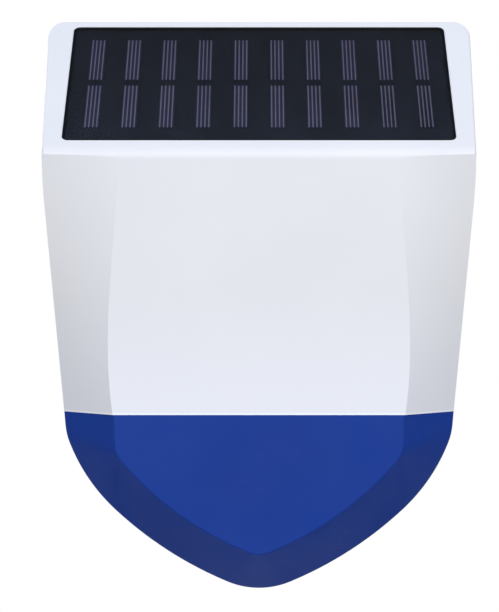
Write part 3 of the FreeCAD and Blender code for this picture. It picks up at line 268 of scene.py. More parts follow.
# The rear shell and the inside come from the same plastic with a coarser tool texture.
white_textured = plain_finish("white_asa_moulded_spark_texture", ("#E2E4E9", "#DADDE3"), 30.0,
                              0.9, 0.03, (0.5, 0.6), IOR=1.52)
# Silicone, compression moulded: grey, dull and slightly dusty.
silicone = plain_finish("grey_silicone_moulded", ("#A9ADB2", "#9DA1A7"), 12.0, 0.8, 0.02,
                        (0.55, 0.7), IOR=1.41, Sheen_Weight=0.15)
# White neutral-cure sealant, tooled smooth, round the solar panel.
sealant = plain_finish("white_silicone_sealant_tooled", ("#F4F6FA", "#EEF1F6"), 8.0, 0.7, 0.01,
                       (0.25, 0.35), IOR=1.42)
# Polypropylene foam tape: dark, open cells about 0.6 mm across.
foam = plain_finish("black_foam_tape_open_cell", ("#33353A", "#202226"), 2.0, 0.6, 0.15,
                    (0.85, 0.95), Sheen_Weight=0.2)
# Fired ceramic of the sounder's element and the light bases, silvered: pale, with a soft shine.
ceramic = plain_finish("fired_ceramic_silvered", ("#D9D5C9", "#CBC6B8"), 6.0, 0.4, 0.01,
                       (0.3, 0.42), Metallic=0.4)
# Black nylon of switches, sockets and sliders, moulded with a dull grain.
black_nylon = plain_finish("black_nylon_moulded", ("#1C1E21", "#26282C"), 9.0, 0.5, 0.02,
                           (0.38, 0.5), IOR=1.53)
# Epoxy moulding compound of the chips: dark grey, sandy to the touch.
chip_epoxy = plain_finish("black_epoxy_chip_package", ("#232427", "#2D2E32"), 4.0, 0.25, 0.015,
                          (0.5, 0.62), IOR=1.55)
# Soft PVC of the leads, extruded: bright red with a waxy shine.
lead_pvc = plain_finish("red_pvc_lead_extruded", ("#B32520", "#A01D1B"), 6.0, 0.7, 0.01,
                        (0.32, 0.42), IOR=1.53)
# Phosphor over the strobe's light chips: a dull warm yellow under clear resin.
phosphor = plain_finish("yellow_phosphor_resin", ("#E7D36B", "#DCC457"), 2.0, 0.3, 0.01,
                        (0.2, 0.3), IOR=1.5, Coat_Weight=0.6, Coat_Roughness=0.08)
# Reflector, injection moulded and vacuum metallised: nearly a mirror, faintly rippled.
mirror_metal = plain_finish("vacuum_metallised_reflector", ("#E3E5E8", "#D6D9DD"), 10.0, 1.5,
                            0.01, (0.08, 0.16), Metallic=1.0)
# Brass, turned: warm yellow with a fine, uneven surface.
brass = plain_finish("turned_brass", ("#C8A25A", "#B8924B"), 3.0, 0.3, 0.01, (0.25, 0.36),
                     Metallic=1.0)
# Tinned copper of pins, ribbons and solder: silvery grey, slightly dull.
tinned = plain_finish("tinned_copper_dipped", ("#B4B7BC", "#A3A6AC"), 3.0, 0.4, 0.01,
                      (0.28, 0.4), Metallic=1.0)
# Enamelled copper wire of the boost coil and the antenna: clear varnish over copper.
copper = plain_finish("enamelled_copper_wire", ("#B4653A", "#9C5230"), 3.0, 0.4, 0.005,
                      (0.22, 0.32), Metallic=1.0, Coat_Weight=0.5, Coat_Roughness=0.1)
# Sleeve of the capacitors, shrunk over the can.
sleeve = plain_finish("dark_blue_pet_sleeve", ("#1B2438", "#232E46"), 5.0, 0.6, 0.01,
                      (0.22, 0.32), IOR=1.57)
# Spring steel wire, drawn and oiled.
spring_wire = plain_finish("spring_steel_wire_drawn", ("#8E9298", "#7C8087"), 2.0, 0.3, 0.005,
                           (0.22, 0.32), Metallic=1.0)


def zinc_steel_finish():
    """Steel sheet, hot-dip galvanised: silvery grey with the large flat crystals of zinc."""
    made, tree, shader = new_material("galvanised_steel_sheet", {"Metallic": 1.0})
    crystals = add_node(tree, "ShaderNodeTexVoronoi", {
        "Vector": object_place(tree, (7.0, 7.0, 7.0)), "Scale": 1.0})
    spread = add_node(tree, "ShaderNodeSeparateColor", {0: crystals.outputs["Color"]})
    tone = add_node(tree, "ShaderNodeMix", {
        SHARE: spread.outputs[0], FIRST: linear("#AEB3B9"), SECOND: linear("#C6CACF")},
        data_type="RGBA")
    worn = add_node(tree, "ShaderNodeMix", {
        SHARE: drift(tree, 20.0, 0.0, 0.35), FIRST: tone.outputs[RESULT],
        SECOND: linear("#9EA3A9")}, data_type="RGBA")
    rough = add_node(tree, "ShaderNodeMapRange", {
        "Value": spread.outputs[1], "To Min": 0.3, "To Max": 0.46})
    dents = add_node(tree, "ShaderNodeBump", {
        "Height": drift(tree, 1.2, 0.0, 1.0), "Distance": 0.01 * MM})
    tree.links.new(worn.outputs[RESULT], shader.inputs["Base Color"])
    tree.links.new(rough.outputs[0], shader.inputs["Roughness"])
    tree.links.new(dents.outputs[0], shader.inputs["Normal"])
    return made


def zinc_screw_finish():
    """Screw steel, rolled and zinc plated: bright, with a fine unevenness of the plating."""
    made, tree, shader = new_material("zinc_plated_screw_steel", {"Metallic": 1.0})
    tone = add_node(tree, "ShaderNodeMix", {
        SHARE: drift(tree, 2.5, 0.0, 1.0), FIRST: linear("#C9CBC8"),
        SECOND: linear("#B5B8BA")}, data_type="RGBA")
    grain = add_node(tree, "ShaderNodeBump", {
        "Height": drift(tree, 0.3, 0.0, 1.0), "Distance": 0.006 * MM})
    tree.links.new(tone.outputs[RESULT], shader.inputs["Base Color"])
    tree.links.new(drift(tree, 1.5, 0.22, 0.36), shader.inputs["Roughness"])
    tree.links.new(grain.outputs[0], shader.inputs["Normal"])
    return made


def blue_lens_finish():
    """Polycarbonate, tinted through and polished: deep blue with a soft gloss."""
    made, tree, shader = new_material("blue_polycarbonate_tinted_polished", {
        "IOR": 1.58, "Specular IOR Level": 0.28, "Coat Weight": 0.08, "Coat Roughness": 0.06})
    tone = add_node(tree, "ShaderNodeMix", {
        SHARE: drift(tree, 50.0, 0.0, 1.0), FIRST: linear("#153C97"),
        SECOND: linear("#143991")}, data_type="RGBA")
    ripple = add_node(tree, "ShaderNodeBump", {
        "Height": drift(tree, 6.0, 0.0, 1.0), "Distance": 0.01 * MM})
    tree.links.new(tone.outputs[RESULT], shader.inputs["Base Color"])
    tree.links.new(drift(tree, 18.0, 0.2, 0.28), shader.inputs["Roughness"])
    tree.links.new(ripple.outputs[0], shader.inputs["Normal"])
    return made


def panel_cover_finish():
    """Clear laminate over the solar cells, pressed against a fine plate: a soft sheen on top."""
    made, tree, shader = new_material("clear_pet_laminate_pressed", {
        "IOR": 1.46, "Specular IOR Level": 0.35, "Transmission Weight": 1.0,
        "Base Color": linear("#E6E7EA")})
    tree.links.new(drift(tree, 25.0, 0.05, 0.09), shader.inputs["Roughness"])
    return made


# A band texture repeats every 0.314 of its unit, so bands 0.8 mm apart have a unit of 2.6 mm.
def solar_cell_finish():
    """Silicon with a blue-violet coating and thin, faint silver fingers 0.8 mm apart."""
    made, tree, shader = new_material("silicon_cell_coated", {"IOR": 1.9, "Metallic": 0.2})
    fingers = add_node(tree, "ShaderNodeTexWave", {
        "Vector": object_place(tree, (2.6, 2.6, 2.6), (45.0, 0.0, 0.0)), "Scale": 1.0},
        wave_type="BANDS", bands_direction="Y")
    thin = add_node(tree, "ShaderNodeMapRange", {
        "Value": fingers.outputs["Fac"], "From Min": 0.93, "To Max": 0.08})
    crystal = add_node(tree, "ShaderNodeMix", {
        SHARE: drift(tree, 4.0, 0.0, 1.0), FIRST: linear("#352A4C"),
        SECOND: linear("#2E2543")}, data_type="RGBA")
    printed = add_node(tree, "ShaderNodeMix", {
        SHARE: thin.outputs[0], FIRST: crystal.outputs[RESULT], SECOND: linear("#8C8BA0")},
        data_type="RGBA")
    tree.links.new(printed.outputs[RESULT], shader.inputs["Base Color"])
    tree.links.new(drift(tree, 6.0, 0.3, 0.4), shader.inputs["Roughness"])
    return made


def black_board_finish():
    """Black solder mask over woven glass cloth, whose threads, 0.35 mm apart, just show."""
    made, tree, shader = new_material("black_solder_mask_on_glass_cloth", {"IOR": 1.55})
    place = object_place(tree, (1.1, 1.1, 1.1), (45.0, 0.0, 0.0))
    across, along = [add_node(tree, "ShaderNodeTexWave", {
        "Vector": place, "Scale": 1.0, "Distortion": 0.3},
        wave_type="BANDS", bands_direction=direction) for direction in ("X", "Y")]
    weave = add_node(tree, "ShaderNodeMath", {
        0: across.outputs["Fac"], 1: along.outputs["Fac"]}, operation="MULTIPLY")
    tone = add_node(tree, "ShaderNodeMix", {
        SHARE: drift(tree, 30.0, 0.0, 1.0), FIRST: linear("#191A1E"),
        SECOND: linear("#1B1D21")}, data_type="RGBA")
    threads = add_node(tree, "ShaderNodeBump", {
        "Height": weave.outputs[0], "Distance": 0.005 * MM})
    tree.links.new(tone.outputs[RESULT], shader.inputs["Base Color"])
    tree.links.new(drift(tree, 12.0, 0.42, 0.52), shader.inputs["Roughness"])
    tree.links.new(threads.outputs[0], shader.inputs["Normal"])
    return made


def green_board_finish():
    """Green solder mask over etched copper tracks, in rows 2.5 mm apart."""
    made, tree, shader = new_material("green_solder_mask_over_tracks", {"IOR": 1.55})
    tracks = add_node(tree, "ShaderNodeTexBrick", {
        "Vector": object_place(tree, (5.0, 5.0, 5.0), (90.0, 0.0, 0.0)), "Scale": 1.0,
        "Mortar Size": 0.09, "Mortar Smooth": 0.3, "Brick Width": 1.6, "Row Height": 0.5})
    mask = add_node(tree, "ShaderNodeMix", {
        SHARE: drift(tree, 15.0, 0.0, 1.0), FIRST: linear("#0E4A2F"),
        SECOND: linear("#0B4129")}, data_type="RGBA")
    tone = add_node(tree, "ShaderNodeMix", {
        SHARE: tracks.outputs["Fac"], FIRST: mask.outputs[RESULT],
        SECOND: linear("#2E7A50")}, data_type="RGBA")
    raised = add_node(tree, "ShaderNodeBump", {
        "Height": tracks.outputs["Fac"], "Distance": 0.03 * MM})
    tree.links.new(tone.outputs[RESULT], shader.inputs["Base Color"])
    tree.links.new(drift(tree, 8.0, 0.25, 0.38), shader.inputs["Roughness"])
    tree.links.new(raised.outputs[0], shader.inputs["Normal"])
    return made


BARE_END = 1.9          # mm of bare steel at each end of a battery
TEAL_SHARE = 0.62       # share of a battery's half length under the teal band of its sleeve


def battery_finish():
    """Rechargeable cell: a shrunk sleeve in two bands of colour, bare steel at both ends."""
    made, tree, shader = new_material("pvc_sleeved_battery", {"IOR": 1.53})
    low, high = (Vector(corner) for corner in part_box("battery_cells"))
    half = (high.x - low.x) / 2.0
    place = add_node(tree, "ShaderNodeTexCoord")
    axes = add_node(tree, "ShaderNodeSeparateXYZ", {0: place.outputs["Object"]})
    along = add_node(tree, "ShaderNodeMath", {0: axes.outputs["X"]}, operation="ABSOLUTE")
    bare = add_node(tree, "ShaderNodeMath", {
        0: along.outputs[0], 1: half - BARE_END * MM}, operation="GREATER_THAN")
    band = add_node(tree, "ShaderNodeMath", {
        0: along.outputs[0], 1: TEAL_SHARE * half}, operation="GREATER_THAN")
    wrap = add_node(tree, "ShaderNodeMix", {
        SHARE: band.outputs[0], FIRST: linear("#2F8F9A"), SECOND: linear("#E8E9E6")},
        data_type="RGBA")
    worn = add_node(tree, "ShaderNodeMix", {
        SHARE: drift(tree, 10.0, 0.0, 0.12), FIRST: wrap.outputs[RESULT],
        SECOND: linear("#20666E")}, data_type="RGBA")
    whole = add_node(tree, "ShaderNodeMix", {
        SHARE: bare.outputs[0], FIRST: worn.outputs[RESULT], SECOND: linear("#B9BCC0")},
        data_type="RGBA")
    tree.links.new(whole.outputs[RESULT], shader.inputs["Base Color"])
    tree.links.new(bare.outputs[0], shader.inputs["Metallic"])
    tree.links.new(drift(tree, 8.0, 0.24, 0.34), shader.inputs["Roughness"])
    return made


def wire_cloth_finish():
    """Woven stainless cloth behind the grille: wires 0.9 mm apart, coarser than real to show;
    between the wires the colour is painted shade, near black.
    """
    made, tree, shader = new_material("stainless_wire_cloth_woven", {"Metallic": 1.0})
    place = object_place(tree, (2.8, 2.8, 2.8))
    across, up = [add_node(tree, "ShaderNodeTexWave", {"Vector": place, "Scale": 1.0},
                           wave_type="BANDS", bands_direction=direction)
                  for direction in ("X", "Z")]
    top = add_node(tree, "ShaderNodeMath", {
        0: across.outputs["Fac"], 1: up.outputs["Fac"]}, operation="MAXIMUM")
    # Painted shade: where neither band has a wire the colour is near black, the shade of the hollow
    # behind the cloth.
    tone = add_node(tree, "ShaderNodeMix", {
        SHARE: top.outputs[0], FIRST: linear("#17181A"), SECOND: linear("#8F9499")},
        data_type="RGBA")
    wires = add_node(tree, "ShaderNodeBump", {"Height": top.outputs[0], "Distance": 0.25 * MM})
    tree.links.new(tone.outputs[RESULT], shader.inputs["Base Color"])
    tree.links.new(drift(tree, 5.0, 0.3, 0.42), shader.inputs["Roughness"])
    tree.links.new(wires.outputs[0], shader.inputs["Normal"])
    return made


zinc_sheet = zinc_steel_finish()
zinc_screw = zinc_screw_finish()
blue_lens = blue_lens_finish()
clear_cover = panel_cover_finish()
silicon = solar_cell_finish()
black_board = black_board_finish()
green_board = green_board_finish()
battery_wrap = battery_finish()
wire_cloth = wire_cloth_finish()

FINISH_OF_NODE = {
    white_satin: ("front_housing", "pair_button"),
    white_textured: ("rear_housing", "battery_tray", "sounder_case", "sounder_clamp",
                     "tamper_plunger"),
    blue_lens: ("strobe_lens",),
    silicone: ("lens_seal", "housing_gasket", "charge_flap", "vent_plug"),
    clear_cover: ("solar_cover",),
    silicon: ("solar_cells",),
    black_board: ("solar_backboard",),
    foam: ("panel_tape", "sounder_foam"),
    green_board: ("main_board", "strobe_board"),
    zinc_sheet: ("wall_bracket",),
    zinc_screw: ("housing_screws", "lock_screw", "lock_washer", "sounder_screws", "board_screws",
                 "strobe_screws"),
    brass: ("lock_insert", "sounder_disc"),
    ceramic: ("piezo_element",),
    wire_cloth: ("sounder_mesh",),
    battery_wrap: ("battery_cells",),
    tinned: ("battery_contacts", "radio_module", "charge_socket", "antenna"),
    spring_wire: ("tamper_spring",),
    lead_pvc: ("panel_lead", "battery_lead", "sounder_lead", "strobe_lead"),
    chip_epoxy: ("control_chip",),
    sleeve: ("capacitors",),
    copper: ("boost_coil",),
    black_nylon: ("lead_sockets", "tamper_switch", "button_switch", "power_switch",
                  "power_slider"),
    phosphor: ("strobe_leds",),
    mirror_metal: ("strobe_reflector",),
}
for made, names in FINISH_OF_NODE.items():
    for name in names:
        for slot in nodes[name].material_slots:
            slot.material = made


# ---- solar panel: printed ribbons on the cells and the bead round it ------------------------
ON_SLOPE = math.sqrt(0.5)      # sine and cosine of the panel's 45 degree slope
COVER_T = 0.9 * MM             # the clear cover's thickness, in metres
# The rest is in millimetres.
CELL_COLUMNS = 10
CELL_PITCH = 15.3
CELL_L = 27.3
CELL_ROWS = (8.9, 40.2)        # lower ends of the two rows, up the slope
RIBBON_W = 0.5
RIBBON_T = 0.08
RIBBON_PITCH = 1.6
RIBBONS = 4                    # on each cell


def slope_place():
    """Flat drawing to the slope: X across, Y up the slope, Z out of the cover's face."""
    low = Vector(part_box("solar_cover")[0])
    s = ON_SLOPE
    return Matrix(((1, 0, 0, 0), (0, s, -s, low.y), (0, s, s, low.z + COVER_T * s), (0, 0, 0, 1)))


def cell_ribbons():
    """The silver ribbons on every cell, just under the cover."""
    bm = bmesh.new()
    turn = slope_place()
    for row in CELL_ROWS:
        for column in range(CELL_COLUMNS):
            for ribbon in range(RIBBONS):
                x = (column - 0.5 * (CELL_COLUMNS - 1)) * CELL_PITCH
                x += (ribbon - 0.5 * (RIBBONS - 1)) * RIBBON_PITCH
                place = Vector((x * MM, (row + CELL_L / 2.0) * MM, -COVER_T))
                block(bm, (RIBBON_W, CELL_L, RIBBON_T), place, matrix=turn)
    return bm


def slope_ring(grow_mm, corner_mm, width_mm, low_mm, high_mm, round_mm):
    """Flat ring round the solar panel, its outside this far off the cover's edge."""
    low, high = (Vector(corner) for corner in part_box("solar_cover"))
    length = (high.z - low.z) / ON_SLOPE - COVER_T
    bm = bmesh.new()
    bmesh.ops.create_grid(bm, x_segments=1, y_segments=1, size=0.5)
    bmesh.ops.scale(bm, vec=(high.x - low.x + 2.0 * grow_mm * MM, length + 2.0 * grow_mm * MM, 1.0),
                    verts=bm.verts)
    bmesh.ops.bevel(bm, geom=list(bm.verts), offset=corner_mm * MM, segments=6, profile=0.5,
                    affect="VERTICES", material=-1)
    bmesh.ops.inset_region(bm, faces=list(bm.faces), thickness=width_mm * MM, depth=0.0,
                           use_boundary=True, use_even_offset=True)
    middle = [face for face in bm.faces if len(face.verts) > 4]
    bmesh.ops.delete(bm, geom=middle, context="FACES_ONLY")
    raised = bmesh.ops.extrude_face_region(bm, geom=list(bm.faces))
    top = {item for item in raised["geom"] if isinstance(item, bmesh.types.BMVert)}
    bmesh.ops.translate(bm, vec=(0, 0, (high_mm - low_mm) * MM), verts=list(top))
    rims = [edge for edge in bm.edges if all(vert in top for vert in edge.verts)
            and edge.calc_face_angle(0.0) > SHARP_EDGE]
    bmesh.ops.bevel(bm, geom=rims, offset=round_mm * MM, segments=2, profile=0.5,
                    affect="EDGES", material=-1)
    lift = Matrix.Translation((0, length / 2.0, low_mm * MM))
    bmesh.ops.transform(bm, matrix=slope_place() @ lift, verts=bm.verts)
    return bm


# Painted shade of the gap round the solar panel: a nearly black, even ring.
gap_shade_finish = plain_finish("black_painted_shade_of_panel_gap", ("#0B0D12", "#101218"), 12.0, 0.6, 0.004,
                          (0.3, 0.4), IOR=1.5)
# Silver paste of the cell ribbons, screen printed under the laminate: dull lilac grey.
ribbon_paste = plain_finish("silver_paste_ribbon_printed", ("#B9B0C2", "#ABA3B4"), 5.0, 0.5, 0.01,
                            (0.35, 0.45), Metallic=0.3)
piece("cell_ribbons", cell_ribbons(), [ribbon_paste])
# The bead fills the outer half of the gap and stands just proud of the housing; the border is a
# near-black ring of painted shade round the laminate's edge and hides its cut side.
bead = slope_ring(grow_mm=0.46, corner_mm=2.9, width_mm=0.3, low_mm=-0.9, high_mm=0.28,
                  round_mm=0.11)
border = slope_ring(grow_mm=0.03, corner_mm=2.5, width_mm=0.9, low_mm=-0.92, high_mm=0.02,
                    round_mm=0.01)
piece("panel_bead", bead, [sealant])
piece("panel_border", border, [gap_shade_finish])


# ---- springs, coils and antenna, in millimetres -------------------------------------------------
SPRING_WIRE_R = 0.35
SPRING_INSET = 0.4             # from the wire's middle to the faces of the space it stands in
SPRING_TURNS = 7
ANTENNA_R = 2.6
ANTENNA_WIRE_R = 0.4
ANTENNA_TURNS = 11


def tamper_coil():
    """The plunger's compression spring, evenly wound between the board and the collar."""
    low, high = (Vector(corner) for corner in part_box("tamper_spring"))
    centre = (low + high) / 2.0
    radius = (high.x - low.x) / 2.0 / MM - SPRING_INSET
    pitch = ((high.y - low.y) / MM - 2.0 * SPRING_INSET) / SPRING_TURNS
    base = Matrix.Translation((centre.x, low.y + SPRING_INSET * MM, centre.z)) @ TO_WALL
    bm = bmesh.new()
    coil(bm, radius, SPRING_WIRE_R, pitch, SPRING_TURNS, base, steps=28)
    return bm


def antenna_coil():
    """Helical antenna of copper wire, with a foot that reaches down to the board."""
    low, high = (Vector(corner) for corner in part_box("antenna"))
    out = ANTENNA_R * MM
    radius = ANTENNA_R - ANTENNA_WIRE_R
    start = low.z + ANTENNA_WIRE_R * MM
    pitch = ((high.z - low.z) / MM - 2.0 * ANTENNA_WIRE_R) / ANTENNA_TURNS
    bm = bmesh.new()
    coil(bm, radius, ANTENNA_WIRE_R, pitch, ANTENNA_TURNS,
         Matrix.Translation((high.x - out, low.y + out, start)), steps=24)
    foot = Vector((high.x - out - radius * MM, (low.y + high.y + out) / 2.0, start))
    wide = 2.0 * ANTENNA_WIRE_R
    block(bm, (wide, (high.y - low.y) / MM - ANTENNA_R, wide), foot, bevel_mm=0.15)
    return bm


spring = piece("tamper_coil", tamper_coil(), [spring_wire], ["tamper_spring"],
               body=None)
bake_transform(spring)
piece("antenna_coil", antenna_coil(), [copper], ["antenna"])


# ---- board parts, in millimetres ------------------------------------------------------------
CAPACITORS = 3
WINDING_WIRE_R = 0.3
WINDING_LAYERS = (1.55, 1.0)       # how far each layer of wire lies inside the drum's flanges
CHIP_LEGS = 11                     # on each side
LEG_PITCH = 1.0
LEG_W = 0.4
# Each leg's three straight stretches: out from the chip, up from the board, length and height.
LEG_STRETCHES = ((0.25, -0.7, 0.7, 0.2), (0.6, -0.4, 0.2, 0.7), (0.95, -0.1, 0.8, 0.2))
# Double rows of small parts: x of the first, z, how many and how far apart.
SMALL_ROWS = ((-30.0, 66.0, 7, 3.2), (8.0, 70.0, 4, 3.2), (-22.0, 58.0, 6, 3.0),
              (46.0, 72.0, 4, 3.0), (-60.0, 62.0, 5, 3.0), (-6.0, 82.0, 4, 3.4))
SMALL_STEP = 3.2                   # between the two lines of a double row
SMALL_PART = (1.6, 0.6, 0.9)
SMALL_PART_END = (0.45, 0.64, 0.96)
SOCKET_REACH = 5.0                 # a socket's corners are within this of its middle
SOCKET_PINS = (-2.0, 2.0)
SOCKET_PIN = (0.6, 6.4, 0.6)
SOCKET_LATCH = (5.0, 1.2, 0.5)
EMITTER_REACH = 9.0                # a strobe light's corners are within this of each other
EMITTER_BASE = (5.0, 0.8, 5.0)
EMITTER_CHIP = (2.4, 0.2, 2.4)
DOME = ((0.0, 0.0), (1.9, 0.0), (1.88, 0.15), (1.7, 0.35), (1.3, 0.5), (0.7, 0.58), (0.0, 0.6))
BATTERY_R = 9.1
CONTACT_T = 0.5
CONTACT_PLATE = (CONTACT_T, 10.0, 8.0)
CONTACT_WIRE_R = 0.3
CONTACT_TURNS = (3.2, 2.9, 2.6)    # radius of each turn of a battery spring, from its plate
CONTACT_PITCH = 0.7
BUTTON = ((0.0, 0.0), (2.4, 0.0), (2.2, 0.5), (1.9, 1.1), (1.5, 1.4), (0.0, 1.45))


def capacitor_cans():
    """Electrolytic capacitors: sleeve, rolled groove, pressed vent on the bare top."""
    low, high = (Vector(corner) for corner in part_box("capacitors"))
    radius = (high.z - low.z) / 2.0 / MM
    height = (high.y - low.y) / MM
    pitch = ((high.x - low.x) / MM - 2.0 * radius) / (CAPACITORS - 1)
    bm = bmesh.new()
    sleeve_line = [(0.0, 0.0), (radius - 0.3, 0.0), (radius, 0.3), (radius, 1.2),
                   (radius - 0.4, 1.6), (radius, 2.0), (radius, height - 0.4),
                   (radius - 0.35, height - 0.05), (radius - 0.8, height - 0.1)]
    can_line = [(radius - 0.8, height - 0.1), (radius - 1.0, height - 0.25), (0.0, height - 0.25)]
    for i in range(CAPACITORS):
        x = low.x + (radius + i * pitch) * MM
        place = Matrix.Translation((x, high.y, (low.z + high.z) / 2.0)) @ TO_FRONT
        turned(bm, sleeve_line, place)
        turned(bm, can_line, place, finish=1)
        for angle in (0.0, 60.0, 120.0):
            ridge = place @ Matrix.Rotation(math.radians(angle), 4, "Z")
            block(bm, (2.0 * radius - 2.6, 0.25, 0.2), Vector((0, 0, (height - 0.2) * MM)),
                  matrix=ridge, finish=1)
    return bm


def boost_winding():
    """Ferrite drum with flanges and a close winding of enamelled wire."""
    low, high = (Vector(corner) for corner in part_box("boost_coil"))
    radius = (high.x - low.x) / 2.0 / MM
    height = (high.y - low.y) / MM
    bm = bmesh.new()
    place = Matrix.Translation(((low.x + high.x) / 2.0, high.y, (low.z + high.z) / 2.0)) @ TO_FRONT
    drum = [(0.0, 0.0), (radius - 0.2, 0.0), (radius, 0.2), (radius, 1.2), (radius - 0.2, 1.4),
            (radius - 1.9, 1.5), (radius - 1.9, height - 1.5), (radius - 0.2, height - 1.4),
            (radius, height - 1.2), (radius, height - 0.2), (radius - 0.2, height), (0.0, height)]
    turned(bm, drum, place)
    flange = 1.5
    pitch = 2.06 * WINDING_WIRE_R
    turns = int((height - 2.0 * flange - 2.0 * WINDING_WIRE_R) / pitch)
    start = place @ Matrix.Translation((0, 0, (flange + WINDING_WIRE_R) * MM))
    for layer in WINDING_LAYERS:
        coil(bm, radius - layer, WINDING_WIRE_R, pitch, turns, start, steps=32, finish=1)
    return bm


def chip_legs():
    """Gull-wing legs on the four sides of the control chip."""
    low, high = (Vector(corner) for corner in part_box("control_chip"))
    centre = (low + high) / 2.0
    half = (high.x - low.x) / 2.0
    bm = bmesh.new()
    for quarter in range(4):
        side = Matrix.Translation((centre.x, high.y, centre.z)) @ Matrix.Rotation(
            math.radians(90.0 * quarter), 4, "Y")
        for i in range(CHIP_LEGS):
            along = (i - (CHIP_LEGS - 1) / 2.0) * LEG_PITCH * MM
            for out, up, length, tall in LEG_STRETCHES:
                place = Vector((half + out * MM, up * MM, along))
                block(bm, (length, tall, LEG_W), place, matrix=side)
    return bm


def small_parts():
    """Surface-mount resistors and capacitors in rows, with tinned ends."""
    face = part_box("main_board")[0][1]
    bm = bmesh.new()
    for x, z, count, pitch in SMALL_ROWS:
        for i in range(count):
            for step in (0.0, SMALL_STEP):
                place = Vector(((x + i * pitch) * MM, face - 0.3 * MM, (z + step) * MM))
                block(bm, SMALL_PART, place, bevel_mm=0.06)
                for side in (-0.5, 0.5):
                    end = Vector((side * SMALL_PART[0] * MM, 0, 0))
                    block(bm, SMALL_PART_END, place + end, finish=1)
    return bm


def socket_pins():
    """The latch and the two pins of each lead socket."""
    low, high = (Vector(corner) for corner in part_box("lead_sockets"))
    corners = [vert.co for vert in nodes["lead_sockets"].data.vertices]
    sides = sorted({round(corner.x / MM) for corner in corners})
    bm = bmesh.new()
    for left, right in zip(sides[::2], sides[1::2]):
        x = (left + right) / 2.0
        zs = [corner.z for corner in corners if abs(corner.x / MM - x) < SOCKET_REACH]
        z = (min(zs) + max(zs)) / 2.0
        for pin in SOCKET_PINS:
            place = Vector(((x + pin) * MM, high.y - 2.0 * MM, z))
            block(bm, SOCKET_PIN, place, bevel_mm=0.1)
        latch = Vector((x * MM, low.y + 1.2 * MM, max(zs) + 0.15 * MM))
        block(bm, SOCKET_LATCH, latch, bevel_mm=0.1)
    return bm


def strobe_emitters():
    """Power LEDs: ceramic base, square light chip and the phosphor dome over it."""
    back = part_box("strobe_leds")[1][1]
    lights = []
    for vert in nodes["strobe_leds"].data.vertices:
        near = [light for light in lights if (light[0] - vert.co).length < EMITTER_REACH * MM]
        if near:
            near[0].append(vert.co.copy())
        else:
            lights.append([vert.co.copy()])
    bm = bmesh.new()
    for light in lights:
        x = (min(corner.x for corner in light) + max(corner.x for corner in light)) / 2.0
        z = (min(corner.z for corner in light) + max(corner.z for corner in light)) / 2.0
        base = Vector((x, back - 0.4 * MM, z))
        block(bm, EMITTER_BASE, base, bevel_mm=0.15, finish=1)
        block(bm, EMITTER_CHIP, base - Vector((0, 0.45 * MM, 0)))
        top = Matrix.Translation(base - Vector((0, 0.38 * MM, 0)))
        turned(bm, DOME, top @ TO_FRONT, steps=24)
    return bm


def battery_springs():
    """Contact plates at both ends of both batteries: two with springs, two with buttons."""
    low, high = (Vector(corner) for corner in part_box("battery_contacts"))
    cells_low, cells_high = (Vector(corner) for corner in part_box("battery_cells"))
    y = (low.y + high.y) / 2.0
    # The lower battery's button is on the right (1), the upper one's on the left (-1).
    rows = ((cells_low.z + BATTERY_R * MM, 1), (cells_high.z - BATTERY_R * MM, -1))
    bm = bmesh.new()
    for z, button_side in rows:
        for side, face, inward in ((-1, low.x, TO_RIGHT), (1, high.x, TO_LEFT)):
            plate = Vector((face - side * 0.5 * CONTACT_T * MM, y, z))
            block(bm, CONTACT_PLATE, plate, bevel_mm=0.12)
            start = Matrix.Translation((face - side * CONTACT_T * MM, y, z)) @ inward
            if side == button_side:
                turned(bm, BUTTON, start, steps=32)
            else:
                for turn, radius in enumerate(CONTACT_TURNS):
                    rise = (CONTACT_WIRE_R + CONTACT_PITCH * turn) * MM
                    coil(bm, radius, CONTACT_WIRE_R, CONTACT_PITCH, 1,
                         start @ Matrix.Translation((0, 0, rise)), steps=28)
    return bm


piece("capacitor_cans", capacitor_cans(), [sleeve, tinned], ["capacitors"])
piece("boost_winding", boost_winding(), [chip_epoxy, copper], ["boost_coil"])
piece("chip_legs", chip_legs(), [tinned])
piece("small_parts", small_parts(), [chip_epoxy, tinned])
piece("socket_pins", socket_pins(), [tinned])
piece("strobe_emitters", strobe_emitters(), [phosphor, ceramic], ["strobe_leds"])
piece("battery_springs", battery_springs(), [tinned], ["battery_contacts"])


# ---- wall bracket with the rolled edges of punched sheet ---------------------------------------
FOLDED_EDGE = math.radians(40.0)       # an edge of the sheet that turns more than this is rounded


def softened_copy(node, radius_mm):
    """A merged copy of a node's mesh whose sharp edges are rounded by a small radius."""
    bm = bmesh.new()
    bm.from_mesh(nodes[node].data)
    bmesh.ops.remove_doubles(bm, verts=bm.verts, dist=2.0 * WELD)
    bmesh.ops.dissolve_limit(bm, angle_limit=math.radians(1.0), verts=bm.verts, edges=bm.edges)
    sharp = [edge for edge in bm.edges if len(edge.link_faces) == 2
             and edge.calc_face_angle(0.0) > FOLDED_EDGE]
    bmesh.ops.bevel(bm, geom=sharp, offset=radius_mm * MM, segments=2, profile=0.5,
                    affect="EDGES", clamp_overlap=True, material=-1)
    return bm


piece("bracket_sheet", softened_copy("wall_bracket", 0.25), [zinc_sheet],
      ["wall_bracket"], body="bracket")


# ---- light and floor, in metres --------------------------------------------------------------
FLOOR_R = 0.6
FLOOR_Z = -0.35
MIDDLE = (0.0, -0.04, 0.0)     # of the siren


